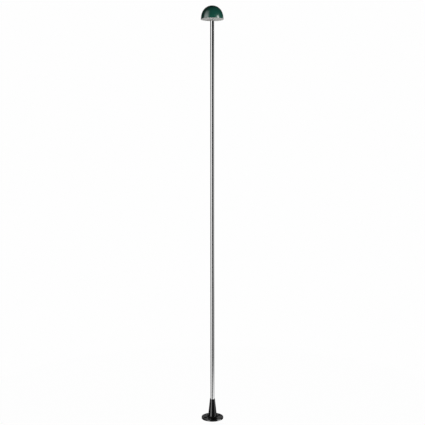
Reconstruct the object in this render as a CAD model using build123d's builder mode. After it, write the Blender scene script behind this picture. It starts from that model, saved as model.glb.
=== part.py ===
from build123d import *
import os
from math import acos, atan2, degrees, sin

# A slim floor lamp taken apart into its real pieces: a cast foot that is screwed to the floor, one straight
# pole, and a domed head with an LED ring behind an opal disc.
# Millimetres. The origin is on the floor under the pole, +Z is up and the lamp's front faces -Y.

# The whole lamp
TOTAL_HEIGHT = 1900.0
SHADE_DIAMETER = 102.0
SHADE_HEIGHT = 60.0
SHADE_WALL = 1.2
CROWN_RADIUS = 49.0
POLE_DIAMETER = 18.0
POLE_WALL = 1.2
FOOT_DIAMETER = 102.0
FIT_GAP = 0.05
PUSH_GAP = 0.02

# The foot
PAD_THICKNESS = 1.5
PAD_RADIUS = 46.0
PAD_GAP = 0.3
PAD_HOLE_RADIUS = 18.0
PAD_SCREW_HOLE_RADIUS = 4.5
FLANGE_LIFT = 0.3
FLANGE_THICKNESS = 7.9
FLANGE_EDGE_ROUND = 2.0
FLANGE_UNDER_CHAMFER = 0.3
CONE_BASE_RADIUS = 21.0
CONE_MOUTH_RADIUS = 11.7
CONE_HEIGHT = 84.3
CONE_ROOT_ROUND = 0.5
CONE_MOUTH_ROUND = 0.7
SOCKET_CHAMFER = 0.5
POLE_SEAT_HEIGHT = 36.0
SEAT_THICKNESS = 4.0
SEAT_HOLE_RADIUS = 6.5
CAVITY_BASE_RADIUS = 14.0
CAVITY_TOP_RADIUS = 12.5
FLOOR_SCREW_CIRCLE = 72.0
FLOOR_SCREW_COUNT = 4
FLOOR_SCREW_ANGLE = 26.5
FLOOR_SCREW_HOLE_RADIUS = 3.0
FLOOR_SCREW_SINK_RADIUS = 7.0
FLOOR_SCREW_SINK_ANGLE = 90.0
GRUB_HEIGHTS = (46.0, 66.0)
GRUB_RADIUS = 2.5
GRUB_SUNK = 0.8
GRUB_SOCKET_RADIUS = 1.45
GRUB_SOCKET_DEPTH = 1.8

# The cover under the foot and its cable grommet
COVER_RADIUS = 17.0
COVER_THICKNESS = 1.5
COVER_SPIGOT_HEIGHT = 3.0
COVER_SPIGOT_WALL = 1.5
COVER_GAP = 0.15
INLET_RADIUS = 3.5
INLET_GROMMET_NECK = 5.0
INLET_GROMMET_FLANGE = 6.6
INLET_GROMMET_LOW = 0.9
INLET_GROMMET_HIGH = 1.2

# The connector inside the foot
TERMINAL_WIDTH = 16.0
TERMINAL_FRONT = 5.0
TERMINAL_BACK = 6.0
TERMINAL_BASE = 7.0
TERMINAL_HEIGHT = 14.0
TERMINAL_PITCH = 9.0
TERMINAL_EDGE_ROUND = 0.8
TERMINAL_GROOVE_WIDTH = 1.0
TERMINAL_GROOVE_DEPTH = 1.4
TERMINAL_LUG_DEPTH = 9.0
TERMINAL_LUG_HOLE_DEPTH = 5.0
SLEEVE_RADIUS = 2.0
SLEEVE_BORE_RADIUS = 1.3
CLAMP_SCREW_RADIUS = 1.45
CLAMP_SCREW_SPACING = 7.0
CLAMP_SCREW_SUNK = 0.6
CLAMP_SLOT_WIDTH = 0.6
CLAMP_SLOT_DEPTH = 0.7

# The wiring
LEAD_RADIUS = 3.0
LEAD_LOW_END = 29.6
CORE_RADIUS = 0.65
CORE_SPREAD = 1.2
CORE_TAIL = 4.0
CORE_BEND = 4.0
SEAT_GROMMET_BORE = 3.2
SEAT_GROMMET_FLANGE_RADIUS = 9.0
SEAT_GROMMET_FLANGE = 1.5

# The head, with its heights counted up from the shade's rim
SHADE_GAP = 0.3
DIFFUSER_LIP = 1.2
DIFFUSER_LIP_OVERHANG = 0.6
DIFFUSER_THICKNESS = 2.6
DIFFUSER_SPIGOT_GAP = 0.4
DIFFUSER_POLE_GAP = 0.3
DIFFUSER_COLLAR_WALL = 1.6
DIFFUSER_COLLAR_HEIGHT = 2.0
DIFFUSER_BOSS_RADIUS = 3.0
DIFFUSER_BOSS_CIRCLE = 40.3
DIFFUSER_BOSS_COUNT = 3
DIFFUSER_BOSS_ANGLE = 90.0
DIFFUSER_BOSS_HOLE_DEPTH = 9.0
POLE_TOP = 6.0
HUB_PLUG_LENGTH = 20.0
HUB_COLLAR_RADIUS = 12.0
HUB_CHAMFER = 0.6
TRAY_LEVEL = 14.0
TRAY_RADIUS = 45.0
TRAY_THICKNESS = 2.0
TRAY_RIM_WALL = 1.5
TRAY_RIM_HEIGHT = 3.0
TRAY_ROOT_ROUND = 1.0
NIPPLE_RADIUS = 5.0
NIPPLE_BORE_RADIUS = 3.5
NIPPLE_LOW_END = -8.0
NIPPLE_TOP = 23.0
NIPPLE_HOLE_RADIUS = 5.2
LEAD_STAND_OUT = 1.0
WASHER_RADIUS = 9.0
WASHER_THICKNESS = 1.0
WASHER_TOOTH_COUNT = 10
WASHER_NOTCH_WIDTH = 1.4
WASHER_NOTCH_DEPTH = 2.0
NUT_ACROSS_FLATS = 14.0
NUT_THICKNESS = 4.5
NUT_CHAMFER = 0.5

# The light ring
BOARD_RADIUS = 36.5
BOARD_HOLE_RADIUS = 16.0
BOARD_THICKNESS = 1.6
CHIP_LENGTH = 3.5
CHIP_WIDTH = 2.8
CHIP_HEIGHT = 0.8
CHIP_OUTER_CIRCLE = 31.5
CHIP_OUTER_COUNT = 18
CHIP_INNER_CIRCLE = 21.0
CHIP_INNER_COUNT = 12
BOARD_SCREW_CIRCLE = 26.3
BOARD_SCREW_COUNT = 3
BOARD_SCREW_ANGLE = 30.0

# The driver on the tray
DRIVER_LENGTH = 40.0
DRIVER_WIDTH = 20.0
DRIVER_HEIGHT = 14.0
DRIVER_FRONT = 12.0
DRIVER_EDGE_ROUND = 1.0
DRIVER_EAR_LENGTH = 7.0
DRIVER_EAR_WIDTH = 8.0
DRIVER_EAR_THICKNESS = 2.0
DRIVER_INPUT_HEIGHT = 28.0
DRIVER_OUTPUT_HEIGHT = 21.0
OUTPUT_CORE_PLACES = (17.0, 19.5)
OUTPUT_HOLE_FRONT = 5.5
OUTPUT_HOLE_LENGTH = 7.0
OUTPUT_HOLE_WIDTH = 4.0

# The saddle that carries the shade
SADDLE_SPAN = 50.0
SADDLE_FOOT_REACH = 36.0
SADDLE_WIDTH = 12.0
SADDLE_THICKNESS = 2.0
SADDLE_BEND = 2.5
SADDLE_TOP = 46.0
SADDLE_SCREW_PLACE = 31.0
STUD_RADIUS = 3.0
STUD_LENGTH = 10.0
STUD_POINT = 0.8
BOSS_RADIUS = 7.0

# The small pan head screws
SCREW_RADIUS = 1.5
SCREW_HEAD_RADIUS = 2.5
SCREW_HEAD_HEIGHT = 1.8
SCREW_HEAD_CHAMFER = 0.5
SCREW_CROSS_LENGTH = 2.8
SCREW_CROSS_WIDTH = 0.6
SCREW_CROSS_DEPTH = 0.9
SCREW_END_GAP = 1.0

# Levels and radii that follow from these
pole_radius = POLE_DIAMETER / 2
pole_bore_radius = pole_radius - POLE_WALL
socket_radius = pole_radius + FIT_GAP
foot_radius = FOOT_DIAMETER / 2
flange_top = FLANGE_LIFT + FLANGE_THICKNESS
cone_top = flange_top + CONE_HEIGHT
cavity_top = POLE_SEAT_HEIGHT - SEAT_THICKNESS
cover_top = PAD_THICKNESS + COVER_THICKNESS
terminal_top = TERMINAL_BASE + TERMINAL_HEIGHT
terminal_middle = TERMINAL_BASE + TERMINAL_HEIGHT / 2
rim_level = TOTAL_HEIGHT - SHADE_HEIGHT
rim_radius = SHADE_DIAMETER / 2
pole_top = rim_level + POLE_TOP
tray_under = rim_level + TRAY_LEVEL
tray_top = tray_under + TRAY_THICKNESS
lip_top = rim_level - SHADE_GAP
lip_under = lip_top - DIFFUSER_LIP
nipple_top = rim_level + NIPPLE_TOP
lead_top = nipple_top + LEAD_STAND_OUT
saddle_top = rim_level + SADDLE_TOP

# The dome's section is two arcs that meet without a corner: a crown and a wider flank that is upright at the rim
crown_centre = SHADE_HEIGHT - CROWN_RADIUS
flank_radius = (CROWN_RADIUS**2 - rim_radius**2 - crown_centre**2) / (2 * (CROWN_RADIUS - rim_radius))
flank_centre = rim_radius - flank_radius
flank_turn = degrees(atan2(crown_centre, -flank_centre))

STANDING = (Align.CENTER, Align.CENTER, Align.MIN)
HANGING = (Align.CENTER, Align.CENTER, Align.MAX)
head_section = Plane(origin=(0, 0, rim_level), x_dir=(1, 0, 0), z_dir=(0, -1, 0))


def cone_radius_at(height):
    """The outer radius of the foot's cone at a height above the floor."""
    return CONE_BASE_RADIUS + (CONE_MOUTH_RADIUS - CONE_BASE_RADIUS) * (height - flange_top) / CONE_HEIGHT


def ring(outer_radius, inner_radius):
    """A flat ring in the sketch that is open."""
    Circle(outer_radius)
    Circle(inner_radius, mode=Mode.SUBTRACT)


def pan_head_screw(shank_length):
    """A cross-head screw: its head stands on the origin and its shank hangs from it."""
    with BuildPart(mode=Mode.PRIVATE) as screw:
        Cylinder(SCREW_HEAD_RADIUS, SCREW_HEAD_HEIGHT, align=STANDING)
        chamfer(screw.edges().group_by(Axis.Z)[-1], SCREW_HEAD_CHAMFER)
        with Locations((0, 0, SCREW_HEAD_HEIGHT)):
            Box(SCREW_CROSS_LENGTH, SCREW_CROSS_WIDTH, SCREW_CROSS_DEPTH, align=HANGING, mode=Mode.SUBTRACT)
            Box(SCREW_CROSS_WIDTH, SCREW_CROSS_LENGTH, SCREW_CROSS_DEPTH, align=HANGING, mode=Mode.SUBTRACT)
        Cylinder(SCREW_RADIUS - FIT_GAP, shank_length, align=HANGING)
    return screw.part


def corner(section, x, y):
    """The corner of an open sketch that is nearest to a point."""
    return section.vertices().sort_by_distance((x, y))[0]


# The soft pad that is let into the foot's underside
with BuildPart() as floor_pad:
    with BuildSketch():
        ring(PAD_RADIUS, PAD_HOLE_RADIUS)
        with PolarLocations(FLOOR_SCREW_CIRCLE / 2, FLOOR_SCREW_COUNT, start_angle=FLOOR_SCREW_ANGLE):
            Circle(PAD_SCREW_HOLE_RADIUS, mode=Mode.SUBTRACT)
    extrude(amount=PAD_THICKNESS)

# The cast foot: a flange with four sunk screw holes, a cone that sockets the pole, and a cavity for the wiring
with BuildPart() as foot_casting:
    with BuildSketch(Plane.XZ) as foot_section:
        with BuildLine():
            Polyline(
                (CAVITY_BASE_RADIUS, cover_top),
                (COVER_RADIUS, cover_top),
                (COVER_RADIUS, PAD_THICKNESS),
                (PAD_RADIUS + PAD_GAP, PAD_THICKNESS),
                (PAD_RADIUS + PAD_GAP, FLANGE_LIFT),
                (foot_radius, FLANGE_LIFT),
                (foot_radius, flange_top),
                (CONE_BASE_RADIUS, flange_top),
                (CONE_MOUTH_RADIUS, cone_top),
                (socket_radius, cone_top),
                (socket_radius, POLE_SEAT_HEIGHT),
                (SEAT_HOLE_RADIUS, POLE_SEAT_HEIGHT),
                (SEAT_HOLE_RADIUS, cavity_top),
                (CAVITY_TOP_RADIUS, cavity_top),
                close=True,
            )
        make_face()
        fillet(corner(foot_section, foot_radius, flange_top), FLANGE_EDGE_ROUND)
        fillet(corner(foot_section, CONE_BASE_RADIUS, flange_top), CONE_ROOT_ROUND)
        fillet(corner(foot_section, CONE_MOUTH_RADIUS, cone_top), CONE_MOUTH_ROUND)
        chamfer(corner(foot_section, foot_radius, FLANGE_LIFT), FLANGE_UNDER_CHAMFER)
        chamfer(corner(foot_section, socket_radius, cone_top), SOCKET_CHAMFER)
    revolve(axis=Axis.Z)
    with Locations((0, TERMINAL_BACK, TERMINAL_BASE)):
        Box(TERMINAL_WIDTH, TERMINAL_LUG_DEPTH, TERMINAL_HEIGHT, align=(Align.CENTER, Align.MIN, Align.MIN))
    with Locations(Plane(origin=(0, TERMINAL_BACK, terminal_middle), z_dir=(0, -1, 0))):
        Hole(SCREW_RADIUS, depth=TERMINAL_LUG_HOLE_DEPTH)
    with Locations((0, 0, flange_top)):
        with PolarLocations(FLOOR_SCREW_CIRCLE / 2, FLOOR_SCREW_COUNT, start_angle=FLOOR_SCREW_ANGLE):
            CounterSinkHole(
                FLOOR_SCREW_HOLE_RADIUS,
                FLOOR_SCREW_SINK_RADIUS,
                depth=flange_top - PAD_THICKNESS,
                counter_sink_angle=FLOOR_SCREW_SINK_ANGLE,
            )
    for height in GRUB_HEIGHTS:
        with Locations(Plane(origin=(0, CONE_BASE_RADIUS, height), z_dir=(0, 1, 0))):
            Hole(GRUB_RADIUS, depth=CONE_BASE_RADIUS - pole_radius)

# The two socket set screws at the back that pinch the pole
with BuildPart() as pole_grub_screws:
    for height in GRUB_HEIGHTS:
        grub_length = cone_radius_at(height) - GRUB_SUNK - pole_radius
        with BuildSketch(Plane(origin=(0, pole_radius, height), z_dir=(0, 1, 0))):
            Circle(GRUB_RADIUS - FIT_GAP)
        extrude(amount=grub_length)
        with BuildSketch(Plane(origin=(0, pole_radius + grub_length, height), z_dir=(0, -1, 0))):
            RegularPolygon(GRUB_SOCKET_RADIUS, side_count=6)
        extrude(amount=GRUB_SOCKET_DEPTH, mode=Mode.SUBTRACT)

# The push-in cover under the foot
with BuildPart() as base_cover:
    with BuildSketch(Plane.XY.offset(PAD_THICKNESS)):
        ring(COVER_RADIUS - COVER_GAP, INLET_GROMMET_NECK)
    extrude(amount=COVER_THICKNESS)
    with BuildSketch(Plane.XY.offset(cover_top)):
        ring(CAVITY_BASE_RADIUS - 2 * COVER_GAP, CAVITY_BASE_RADIUS - 2 * COVER_GAP - COVER_SPIGOT_WALL)
    extrude(amount=COVER_SPIGOT_HEIGHT)

# The grommet where the floor cable comes in
with BuildPart() as cable_grommet:
    with BuildSketch(Plane.XZ):
        with BuildLine():
            Polyline(
                (INLET_RADIUS, PAD_THICKNESS - INLET_GROMMET_LOW),
                (INLET_GROMMET_FLANGE, PAD_THICKNESS - INLET_GROMMET_LOW),
                (INLET_GROMMET_FLANGE, PAD_THICKNESS),
                (INLET_GROMMET_NECK, PAD_THICKNESS),
                (INLET_GROMMET_NECK, cover_top),
                (INLET_GROMMET_FLANGE, cover_top),
                (INLET_GROMMET_FLANGE, cover_top + INLET_GROMMET_HIGH),
                (INLET_RADIUS, cover_top + INLET_GROMMET_HIGH),
                close=True,
            )
        make_face()
    revolve(axis=Axis.Z)

# The two-pole connector that is screwed to the lug in the foot
clamp_heights = (terminal_middle - CLAMP_SCREW_SPACING / 2, terminal_middle + CLAMP_SCREW_SPACING / 2)
clamp_places = [(x, z) for x in (-TERMINAL_PITCH / 2, TERMINAL_PITCH / 2) for z in clamp_heights]
terminal_face = Plane(origin=(0, -TERMINAL_FRONT, 0), x_dir=(1, 0, 0), z_dir=(0, -1, 0))
with BuildPart() as terminal_block:
    with BuildSketch(Plane.XY.offset(TERMINAL_BASE)):
        with Locations((0, (TERMINAL_BACK - TERMINAL_FRONT) / 2)):
            Rectangle(TERMINAL_WIDTH, TERMINAL_BACK + TERMINAL_FRONT)
        with Locations((0, -TERMINAL_FRONT)):
            Rectangle(TERMINAL_GROOVE_WIDTH, 2 * TERMINAL_GROOVE_DEPTH, mode=Mode.SUBTRACT)
        with GridLocations(TERMINAL_PITCH, 0, 2, 1):
            Circle(SLEEVE_RADIUS, mode=Mode.SUBTRACT)
    extrude(amount=TERMINAL_HEIGHT)
    outer_edges = terminal_block.edges().filter_by(Axis.Z).filter_by(GeomType.LINE)
    fillet(outer_edges.group_by(SortBy.DISTANCE)[-1], TERMINAL_EDGE_ROUND)
    with BuildSketch(terminal_face):
        with Locations((0, terminal_middle)):
            Circle(SCREW_RADIUS + FIT_GAP)
    extrude(amount=-(TERMINAL_BACK + TERMINAL_FRONT), mode=Mode.SUBTRACT)
    with BuildSketch(terminal_face):
        with Locations(*clamp_places):
            Circle(CLAMP_SCREW_RADIUS + FIT_GAP)
    extrude(amount=-TERMINAL_FRONT, mode=Mode.SUBTRACT)

# The connector's two brass sleeves, with a side hole for each clamp screw
with BuildPart() as terminal_sleeves:
    with BuildSketch(Plane.XY.offset(TERMINAL_BASE)):
        with GridLocations(TERMINAL_PITCH, 0, 2, 1):
            ring(SLEEVE_RADIUS - FIT_GAP, SLEEVE_BORE_RADIUS)
    extrude(amount=TERMINAL_HEIGHT)
    with BuildSketch(terminal_face):
        with Locations(*clamp_places):
            Circle(CLAMP_SCREW_RADIUS + FIT_GAP)
    extrude(amount=-TERMINAL_FRONT, mode=Mode.SUBTRACT)

# The connector's four slotted clamp screws
with BuildPart() as terminal_screws:
    with BuildSketch(terminal_face.offset(-CLAMP_SCREW_SUNK)):
        with Locations(*clamp_places):
            Circle(CLAMP_SCREW_RADIUS)
    extrude(amount=CLAMP_SCREW_SUNK + CORE_RADIUS + FIT_GAP - TERMINAL_FRONT)
    with BuildSketch(terminal_face.offset(-CLAMP_SCREW_SUNK)):
        with Locations(*clamp_places):
            Rectangle(2 * CLAMP_SCREW_RADIUS, CLAMP_SLOT_WIDTH)
    extrude(amount=-CLAMP_SLOT_DEPTH, mode=Mode.SUBTRACT)

# The screw that holds the connector to the lug
lug_screw = pan_head_screw(TERMINAL_FRONT + TERMINAL_BACK + TERMINAL_LUG_HOLE_DEPTH - SCREW_END_GAP)
with BuildPart() as terminal_block_screw:
    with Locations(Plane(origin=(0, -TERMINAL_FRONT, terminal_middle), z_dir=(0, -1, 0))):
        add(lug_screw)

# The rubber bush in the hole of the pole's seat
with BuildPart() as seat_grommet:
    with BuildSketch(Plane.XY.offset(cavity_top)):
        ring(SEAT_HOLE_RADIUS - FIT_GAP, SEAT_GROMMET_BORE)
    extrude(amount=SEAT_THICKNESS)
    with BuildSketch(Plane.XY.offset(cavity_top)):
        ring(SEAT_GROMMET_FLANGE_RADIUS, SEAT_GROMMET_BORE)
    extrude(amount=-SEAT_GROMMET_FLANGE)

# The pole: one straight tube
with BuildPart() as pole:
    with BuildSketch(Plane.XY.offset(POLE_SEAT_HEIGHT)):
        ring(pole_radius, pole_bore_radius)
    extrude(amount=pole_top - POLE_SEAT_HEIGHT)

# The lead that runs up inside the pole
with BuildPart() as supply_lead:
    with BuildSketch(Plane.XY.offset(LEAD_LOW_END)):
        Circle(LEAD_RADIUS)
    extrude(amount=lead_top - LEAD_LOW_END)

# Its two cores, spread by an S of two arcs to the connector's pitch
core_shift = TERMINAL_PITCH / 2 - CORE_SPREAD
core_drop = LEAD_LOW_END - terminal_top
core_turn = 2 * atan2(core_shift, core_drop)
core_bend_radius = core_drop / (2 * sin(core_turn))
with BuildPart() as lead_cores:
    for side in (-1, 1):
        with BuildLine(Plane.XZ):
            outward = JernArc(
                (side * CORE_SPREAD, LEAD_LOW_END), (0, -1), core_bend_radius, side * degrees(core_turn)
            )
            downward = JernArc(outward @ 1, outward % 1, core_bend_radius, -side * degrees(core_turn))
            Line(downward @ 1, downward @ 1 - (0, CORE_TAIL))
        with BuildSketch(Plane.XY.offset(LEAD_LOW_END)):
            with Locations((side * CORE_SPREAD, 0)):
                Circle(CORE_RADIUS)
        sweep()

# The turned hub: a plug pushed into the pole and a collar that the tray stands on
with BuildPart() as pole_hub:
    with BuildSketch(Plane.XZ) as hub_section:
        with BuildLine():
            Polyline(
                (NIPPLE_RADIUS, pole_top - HUB_PLUG_LENGTH),
                (pole_bore_radius - PUSH_GAP, pole_top - HUB_PLUG_LENGTH),
                (pole_bore_radius - PUSH_GAP, pole_top),
                (HUB_COLLAR_RADIUS, pole_top),
                (HUB_COLLAR_RADIUS, tray_under),
                (NIPPLE_RADIUS, tray_under),
                close=True,
            )
        make_face()
        chamfer(corner(hub_section, pole_bore_radius, pole_top - HUB_PLUG_LENGTH), HUB_CHAMFER)
        chamfer(corner(hub_section, HUB_COLLAR_RADIUS, pole_top), HUB_CHAMFER)
    revolve(axis=Axis.Z)

# The hollow threaded nipple that clamps the tray to the hub
with BuildPart() as head_nipple:
    with BuildSketch(Plane.XY.offset(rim_level + NIPPLE_LOW_END)):
        ring(NIPPLE_RADIUS - PUSH_GAP, NIPPLE_BORE_RADIUS)
    extrude(amount=NIPPLE_TOP - NIPPLE_LOW_END)

# The toothed lock washer
with BuildPart() as head_lock_washer:
    with BuildSketch(Plane.XY.offset(tray_top)):
        ring(WASHER_RADIUS, NIPPLE_HOLE_RADIUS)
        with PolarLocations(WASHER_RADIUS, WASHER_TOOTH_COUNT):
            Rectangle(2 * WASHER_NOTCH_DEPTH, WASHER_NOTCH_WIDTH, mode=Mode.SUBTRACT)
    extrude(amount=WASHER_THICKNESS)

# The thin hexagon nut
with BuildPart() as head_nut:
    with BuildSketch(Plane.XY.offset(tray_top + WASHER_THICKNESS)):
        RegularPolygon(NUT_ACROSS_FLATS / 2, side_count=6, major_radius=False)
        Circle(NIPPLE_RADIUS, mode=Mode.SUBTRACT)
    extrude(amount=NUT_THICKNESS)
    chamfer(head_nut.edges().group_by(Axis.Z)[-1].filter_by(GeomType.LINE), NUT_CHAMFER)

# The spun tray: it takes the heat and carries everything in the head
driver_middle = DRIVER_FRONT + DRIVER_WIDTH / 2
driver_ear_place = DRIVER_LENGTH / 2 + DRIVER_EAR_LENGTH / 2
with BuildPart() as heat_sink_tray:
    with BuildSketch(head_section) as tray_section:
        with BuildLine():
            Polyline(
                (NIPPLE_HOLE_RADIUS, TRAY_LEVEL),
                (TRAY_RADIUS, TRAY_LEVEL),
                (TRAY_RADIUS, TRAY_LEVEL + TRAY_THICKNESS + TRAY_RIM_HEIGHT),
                (TRAY_RADIUS - TRAY_RIM_WALL, TRAY_LEVEL + TRAY_THICKNESS + TRAY_RIM_HEIGHT),
                (TRAY_RADIUS - TRAY_RIM_WALL, TRAY_LEVEL + TRAY_THICKNESS),
                (NIPPLE_HOLE_RADIUS, TRAY_LEVEL + TRAY_THICKNESS),
                close=True,
            )
        make_face()
        fillet(corner(tray_section, TRAY_RADIUS, TRAY_LEVEL), TRAY_ROOT_ROUND)
    revolve(axis=Axis.Z)
    with BuildSketch(Plane.XY.offset(tray_under)):
        with PolarLocations(BOARD_SCREW_CIRCLE, BOARD_SCREW_COUNT, start_angle=BOARD_SCREW_ANGLE):
            Circle(SCREW_RADIUS)
        with PolarLocations(DIFFUSER_BOSS_CIRCLE, DIFFUSER_BOSS_COUNT, start_angle=DIFFUSER_BOSS_ANGLE):
            Circle(SCREW_RADIUS)
        with GridLocations(2 * SADDLE_SCREW_PLACE, 0, 2, 1):
            Circle(SCREW_RADIUS)
        with Locations((-driver_ear_place, driver_middle), (driver_ear_place, driver_middle)):
            Circle(SCREW_RADIUS)
        with Locations((sum(OUTPUT_CORE_PLACES) / 2, OUTPUT_HOLE_FRONT)):
            SlotOverall(OUTPUT_HOLE_LENGTH, OUTPUT_HOLE_WIDTH)
    extrude(amount=TRAY_THICKNESS, mode=Mode.SUBTRACT)

# The ring-shaped board under the tray
with BuildPart() as led_board:
    with BuildSketch(Plane.XY.offset(tray_under - BOARD_THICKNESS)):
        ring(BOARD_RADIUS, BOARD_HOLE_RADIUS)
        with PolarLocations(BOARD_SCREW_CIRCLE, BOARD_SCREW_COUNT, start_angle=BOARD_SCREW_ANGLE):
            Circle(SCREW_RADIUS, mode=Mode.SUBTRACT)
    extrude(amount=BOARD_THICKNESS)

# Its LED chips, in two circles
with BuildPart() as led_chips:
    with BuildSketch(Plane.XY.offset(tray_under - BOARD_THICKNESS)):
        with PolarLocations(CHIP_OUTER_CIRCLE, CHIP_OUTER_COUNT):
            Rectangle(CHIP_WIDTH, CHIP_LENGTH)
        with PolarLocations(CHIP_INNER_CIRCLE, CHIP_INNER_COUNT):
            Rectangle(CHIP_WIDTH, CHIP_LENGTH)
    extrude(amount=-CHIP_HEIGHT)

# The screws that hold the board, with their heads below it
board_screw = pan_head_screw(BOARD_THICKNESS + TRAY_THICKNESS)
with BuildPart() as led_board_screws:
    with Locations(Plane(origin=(0, 0, tray_under - BOARD_THICKNESS), x_dir=(1, 0, 0), z_dir=(0, 0, -1))):
        with PolarLocations(BOARD_SCREW_CIRCLE, BOARD_SCREW_COUNT, start_angle=-BOARD_SCREW_ANGLE):
            add(board_screw)

# The LED driver: a potted box with an ear at each end
with BuildPart() as led_driver:
    with Locations((0, driver_middle, tray_top)):
        Box(DRIVER_LENGTH, DRIVER_WIDTH, DRIVER_HEIGHT, align=STANDING)
    top_edges = led_driver.edges().group_by(Axis.Z)[-1]
    upright_edges = led_driver.edges().filter_by(Axis.Z)
    fillet(top_edges + upright_edges, DRIVER_EDGE_ROUND)
    with BuildSketch(Plane.XY.offset(tray_top)):
        with Locations((-driver_ear_place, driver_middle), (driver_ear_place, driver_middle)):
            Rectangle(DRIVER_EAR_LENGTH, DRIVER_EAR_WIDTH)
            Circle(SCREW_RADIUS + FIT_GAP, mode=Mode.SUBTRACT)
    extrude(amount=DRIVER_EAR_THICKNESS)

# The driver's two screws
ear_screw = pan_head_screw(DRIVER_EAR_THICKNESS + TRAY_THICKNESS)
with BuildPart() as driver_screws:
    ear_top = tray_top + DRIVER_EAR_THICKNESS
    with Locations((-driver_ear_place, driver_middle, ear_top), (driver_ear_place, driver_middle, ear_top)):
        add(ear_screw)

# The lead's cores bend over from the nipple into the driver
with BuildPart() as driver_input_cores:
    for side in (-1, 1):
        with BuildLine(Plane.YZ.offset(side * CORE_SPREAD)):
            FilletPolyline(
                (0, lead_top),
                (0, rim_level + DRIVER_INPUT_HEIGHT),
                (DRIVER_FRONT, rim_level + DRIVER_INPUT_HEIGHT),
                radius=CORE_BEND - FIT_GAP,
            )
        with BuildSketch(Plane.XY.offset(lead_top)):
            with Locations((side * CORE_SPREAD, 0)):
                Circle(CORE_RADIUS)
        sweep()

# The driver's output cores go down through the tray to the board
with BuildPart() as driver_output_cores:
    for place in OUTPUT_CORE_PLACES:
        with BuildLine(Plane.YZ.offset(place)):
            FilletPolyline(
                (OUTPUT_HOLE_FRONT, tray_under),
                (OUTPUT_HOLE_FRONT, rim_level + DRIVER_OUTPUT_HEIGHT),
                (DRIVER_FRONT, rim_level + DRIVER_OUTPUT_HEIGHT),
                radius=CORE_BEND,
            )
        with BuildSketch(Plane.XY.offset(tray_under)):
            with Locations((place, OUTPUT_HOLE_FRONT)):
                Circle(CORE_RADIUS)
        sweep()

# The opal disc: a lip under the shade's rim, a collar round the pole and three screw bosses
diffuser_spigot_radius = rim_radius - SHADE_WALL - DIFFUSER_SPIGOT_GAP
diffuser_hole_radius = pole_radius + DIFFUSER_POLE_GAP
diffuser_top = lip_under + DIFFUSER_THICKNESS
with BuildPart() as diffuser:
    with BuildSketch(Plane.XY.offset(lip_under)):
        ring(rim_radius + DIFFUSER_LIP_OVERHANG, diffuser_hole_radius)
    extrude(amount=DIFFUSER_LIP)
    with BuildSketch(Plane.XY.offset(lip_under)):
        ring(diffuser_spigot_radius, diffuser_hole_radius)
    extrude(amount=DIFFUSER_THICKNESS)
    with BuildSketch(Plane.XY.offset(diffuser_top)):
        ring(diffuser_hole_radius + DIFFUSER_COLLAR_WALL, diffuser_hole_radius)
    extrude(amount=DIFFUSER_COLLAR_HEIGHT)
    with BuildSketch(Plane.XY.offset(diffuser_top)):
        with PolarLocations(DIFFUSER_BOSS_CIRCLE, DIFFUSER_BOSS_COUNT, start_angle=DIFFUSER_BOSS_ANGLE):
            Circle(DIFFUSER_BOSS_RADIUS)
    extrude(amount=tray_under - diffuser_top)
    with Locations((0, 0, tray_under)):
        with PolarLocations(DIFFUSER_BOSS_CIRCLE, DIFFUSER_BOSS_COUNT, start_angle=DIFFUSER_BOSS_ANGLE):
            Hole(SCREW_RADIUS, depth=DIFFUSER_BOSS_HOLE_DEPTH)

# The screws that hold the disc, through the tray into its bosses
boss_screw = pan_head_screw(TRAY_THICKNESS + DIFFUSER_BOSS_HOLE_DEPTH - SCREW_END_GAP)
with BuildPart() as diffuser_screws:
    with Locations((0, 0, tray_top)):
        with PolarLocations(DIFFUSER_BOSS_CIRCLE, DIFFUSER_BOSS_COUNT, start_angle=DIFFUSER_BOSS_ANGLE):
            add(boss_screw)

# The saddle: one bent strip over the tray, with a tapped hole for the shade's stud
saddle_leg = SADDLE_SPAN / 2
saddle_foot_middle = TRAY_LEVEL + TRAY_THICKNESS + SADDLE_THICKNESS / 2
saddle_top_middle = SADDLE_TOP - SADDLE_THICKNESS / 2
with BuildPart() as shade_saddle:
    with BuildSketch(head_section):
        with BuildLine():
            FilletPolyline(
                (-SADDLE_FOOT_REACH, saddle_foot_middle),
                (-saddle_leg, saddle_foot_middle),
                (-saddle_leg, saddle_top_middle),
                (saddle_leg, saddle_top_middle),
                (saddle_leg, saddle_foot_middle),
                (SADDLE_FOOT_REACH, saddle_foot_middle),
                radius=SADDLE_BEND,
            )
        trace(line_width=SADDLE_THICKNESS)
    extrude(amount=SADDLE_WIDTH / 2, both=True)
    with Locations((0, 0, saddle_top)):
        Hole(STUD_RADIUS, depth=SADDLE_THICKNESS)
    with Locations((0, 0, tray_top + SADDLE_THICKNESS)):
        with GridLocations(2 * SADDLE_SCREW_PLACE, 0, 2, 1):
            Hole(SCREW_RADIUS + FIT_GAP, depth=SADDLE_THICKNESS)

# The saddle's two screws
saddle_screw = pan_head_screw(SADDLE_THICKNESS + TRAY_THICKNESS)
with BuildPart() as saddle_screws:
    with Locations((0, 0, tray_top + SADDLE_THICKNESS)):
        with GridLocations(2 * SADDLE_SCREW_PLACE, 0, 2, 1):
            add(saddle_screw)

# The spun shade: the two-arc shell, open at the rim
with BuildPart() as shade:
    with BuildSketch(head_section):
        with BuildLine():
            flank_outside = CenterArc((flank_centre, 0), flank_radius, 0, flank_turn)
            CenterArc((0, crown_centre), CROWN_RADIUS, flank_turn, 90 - flank_turn)
            Line((0, SHADE_HEIGHT), (0, SHADE_HEIGHT - SHADE_WALL))
            CenterArc((0, crown_centre), CROWN_RADIUS - SHADE_WALL, flank_turn, 90 - flank_turn)
            flank_inside = CenterArc((flank_centre, 0), flank_radius - SHADE_WALL, 0, flank_turn)
            Line(flank_inside @ 0, flank_outside @ 0)
        make_face()
    revolve(axis=Axis.Z)

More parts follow.
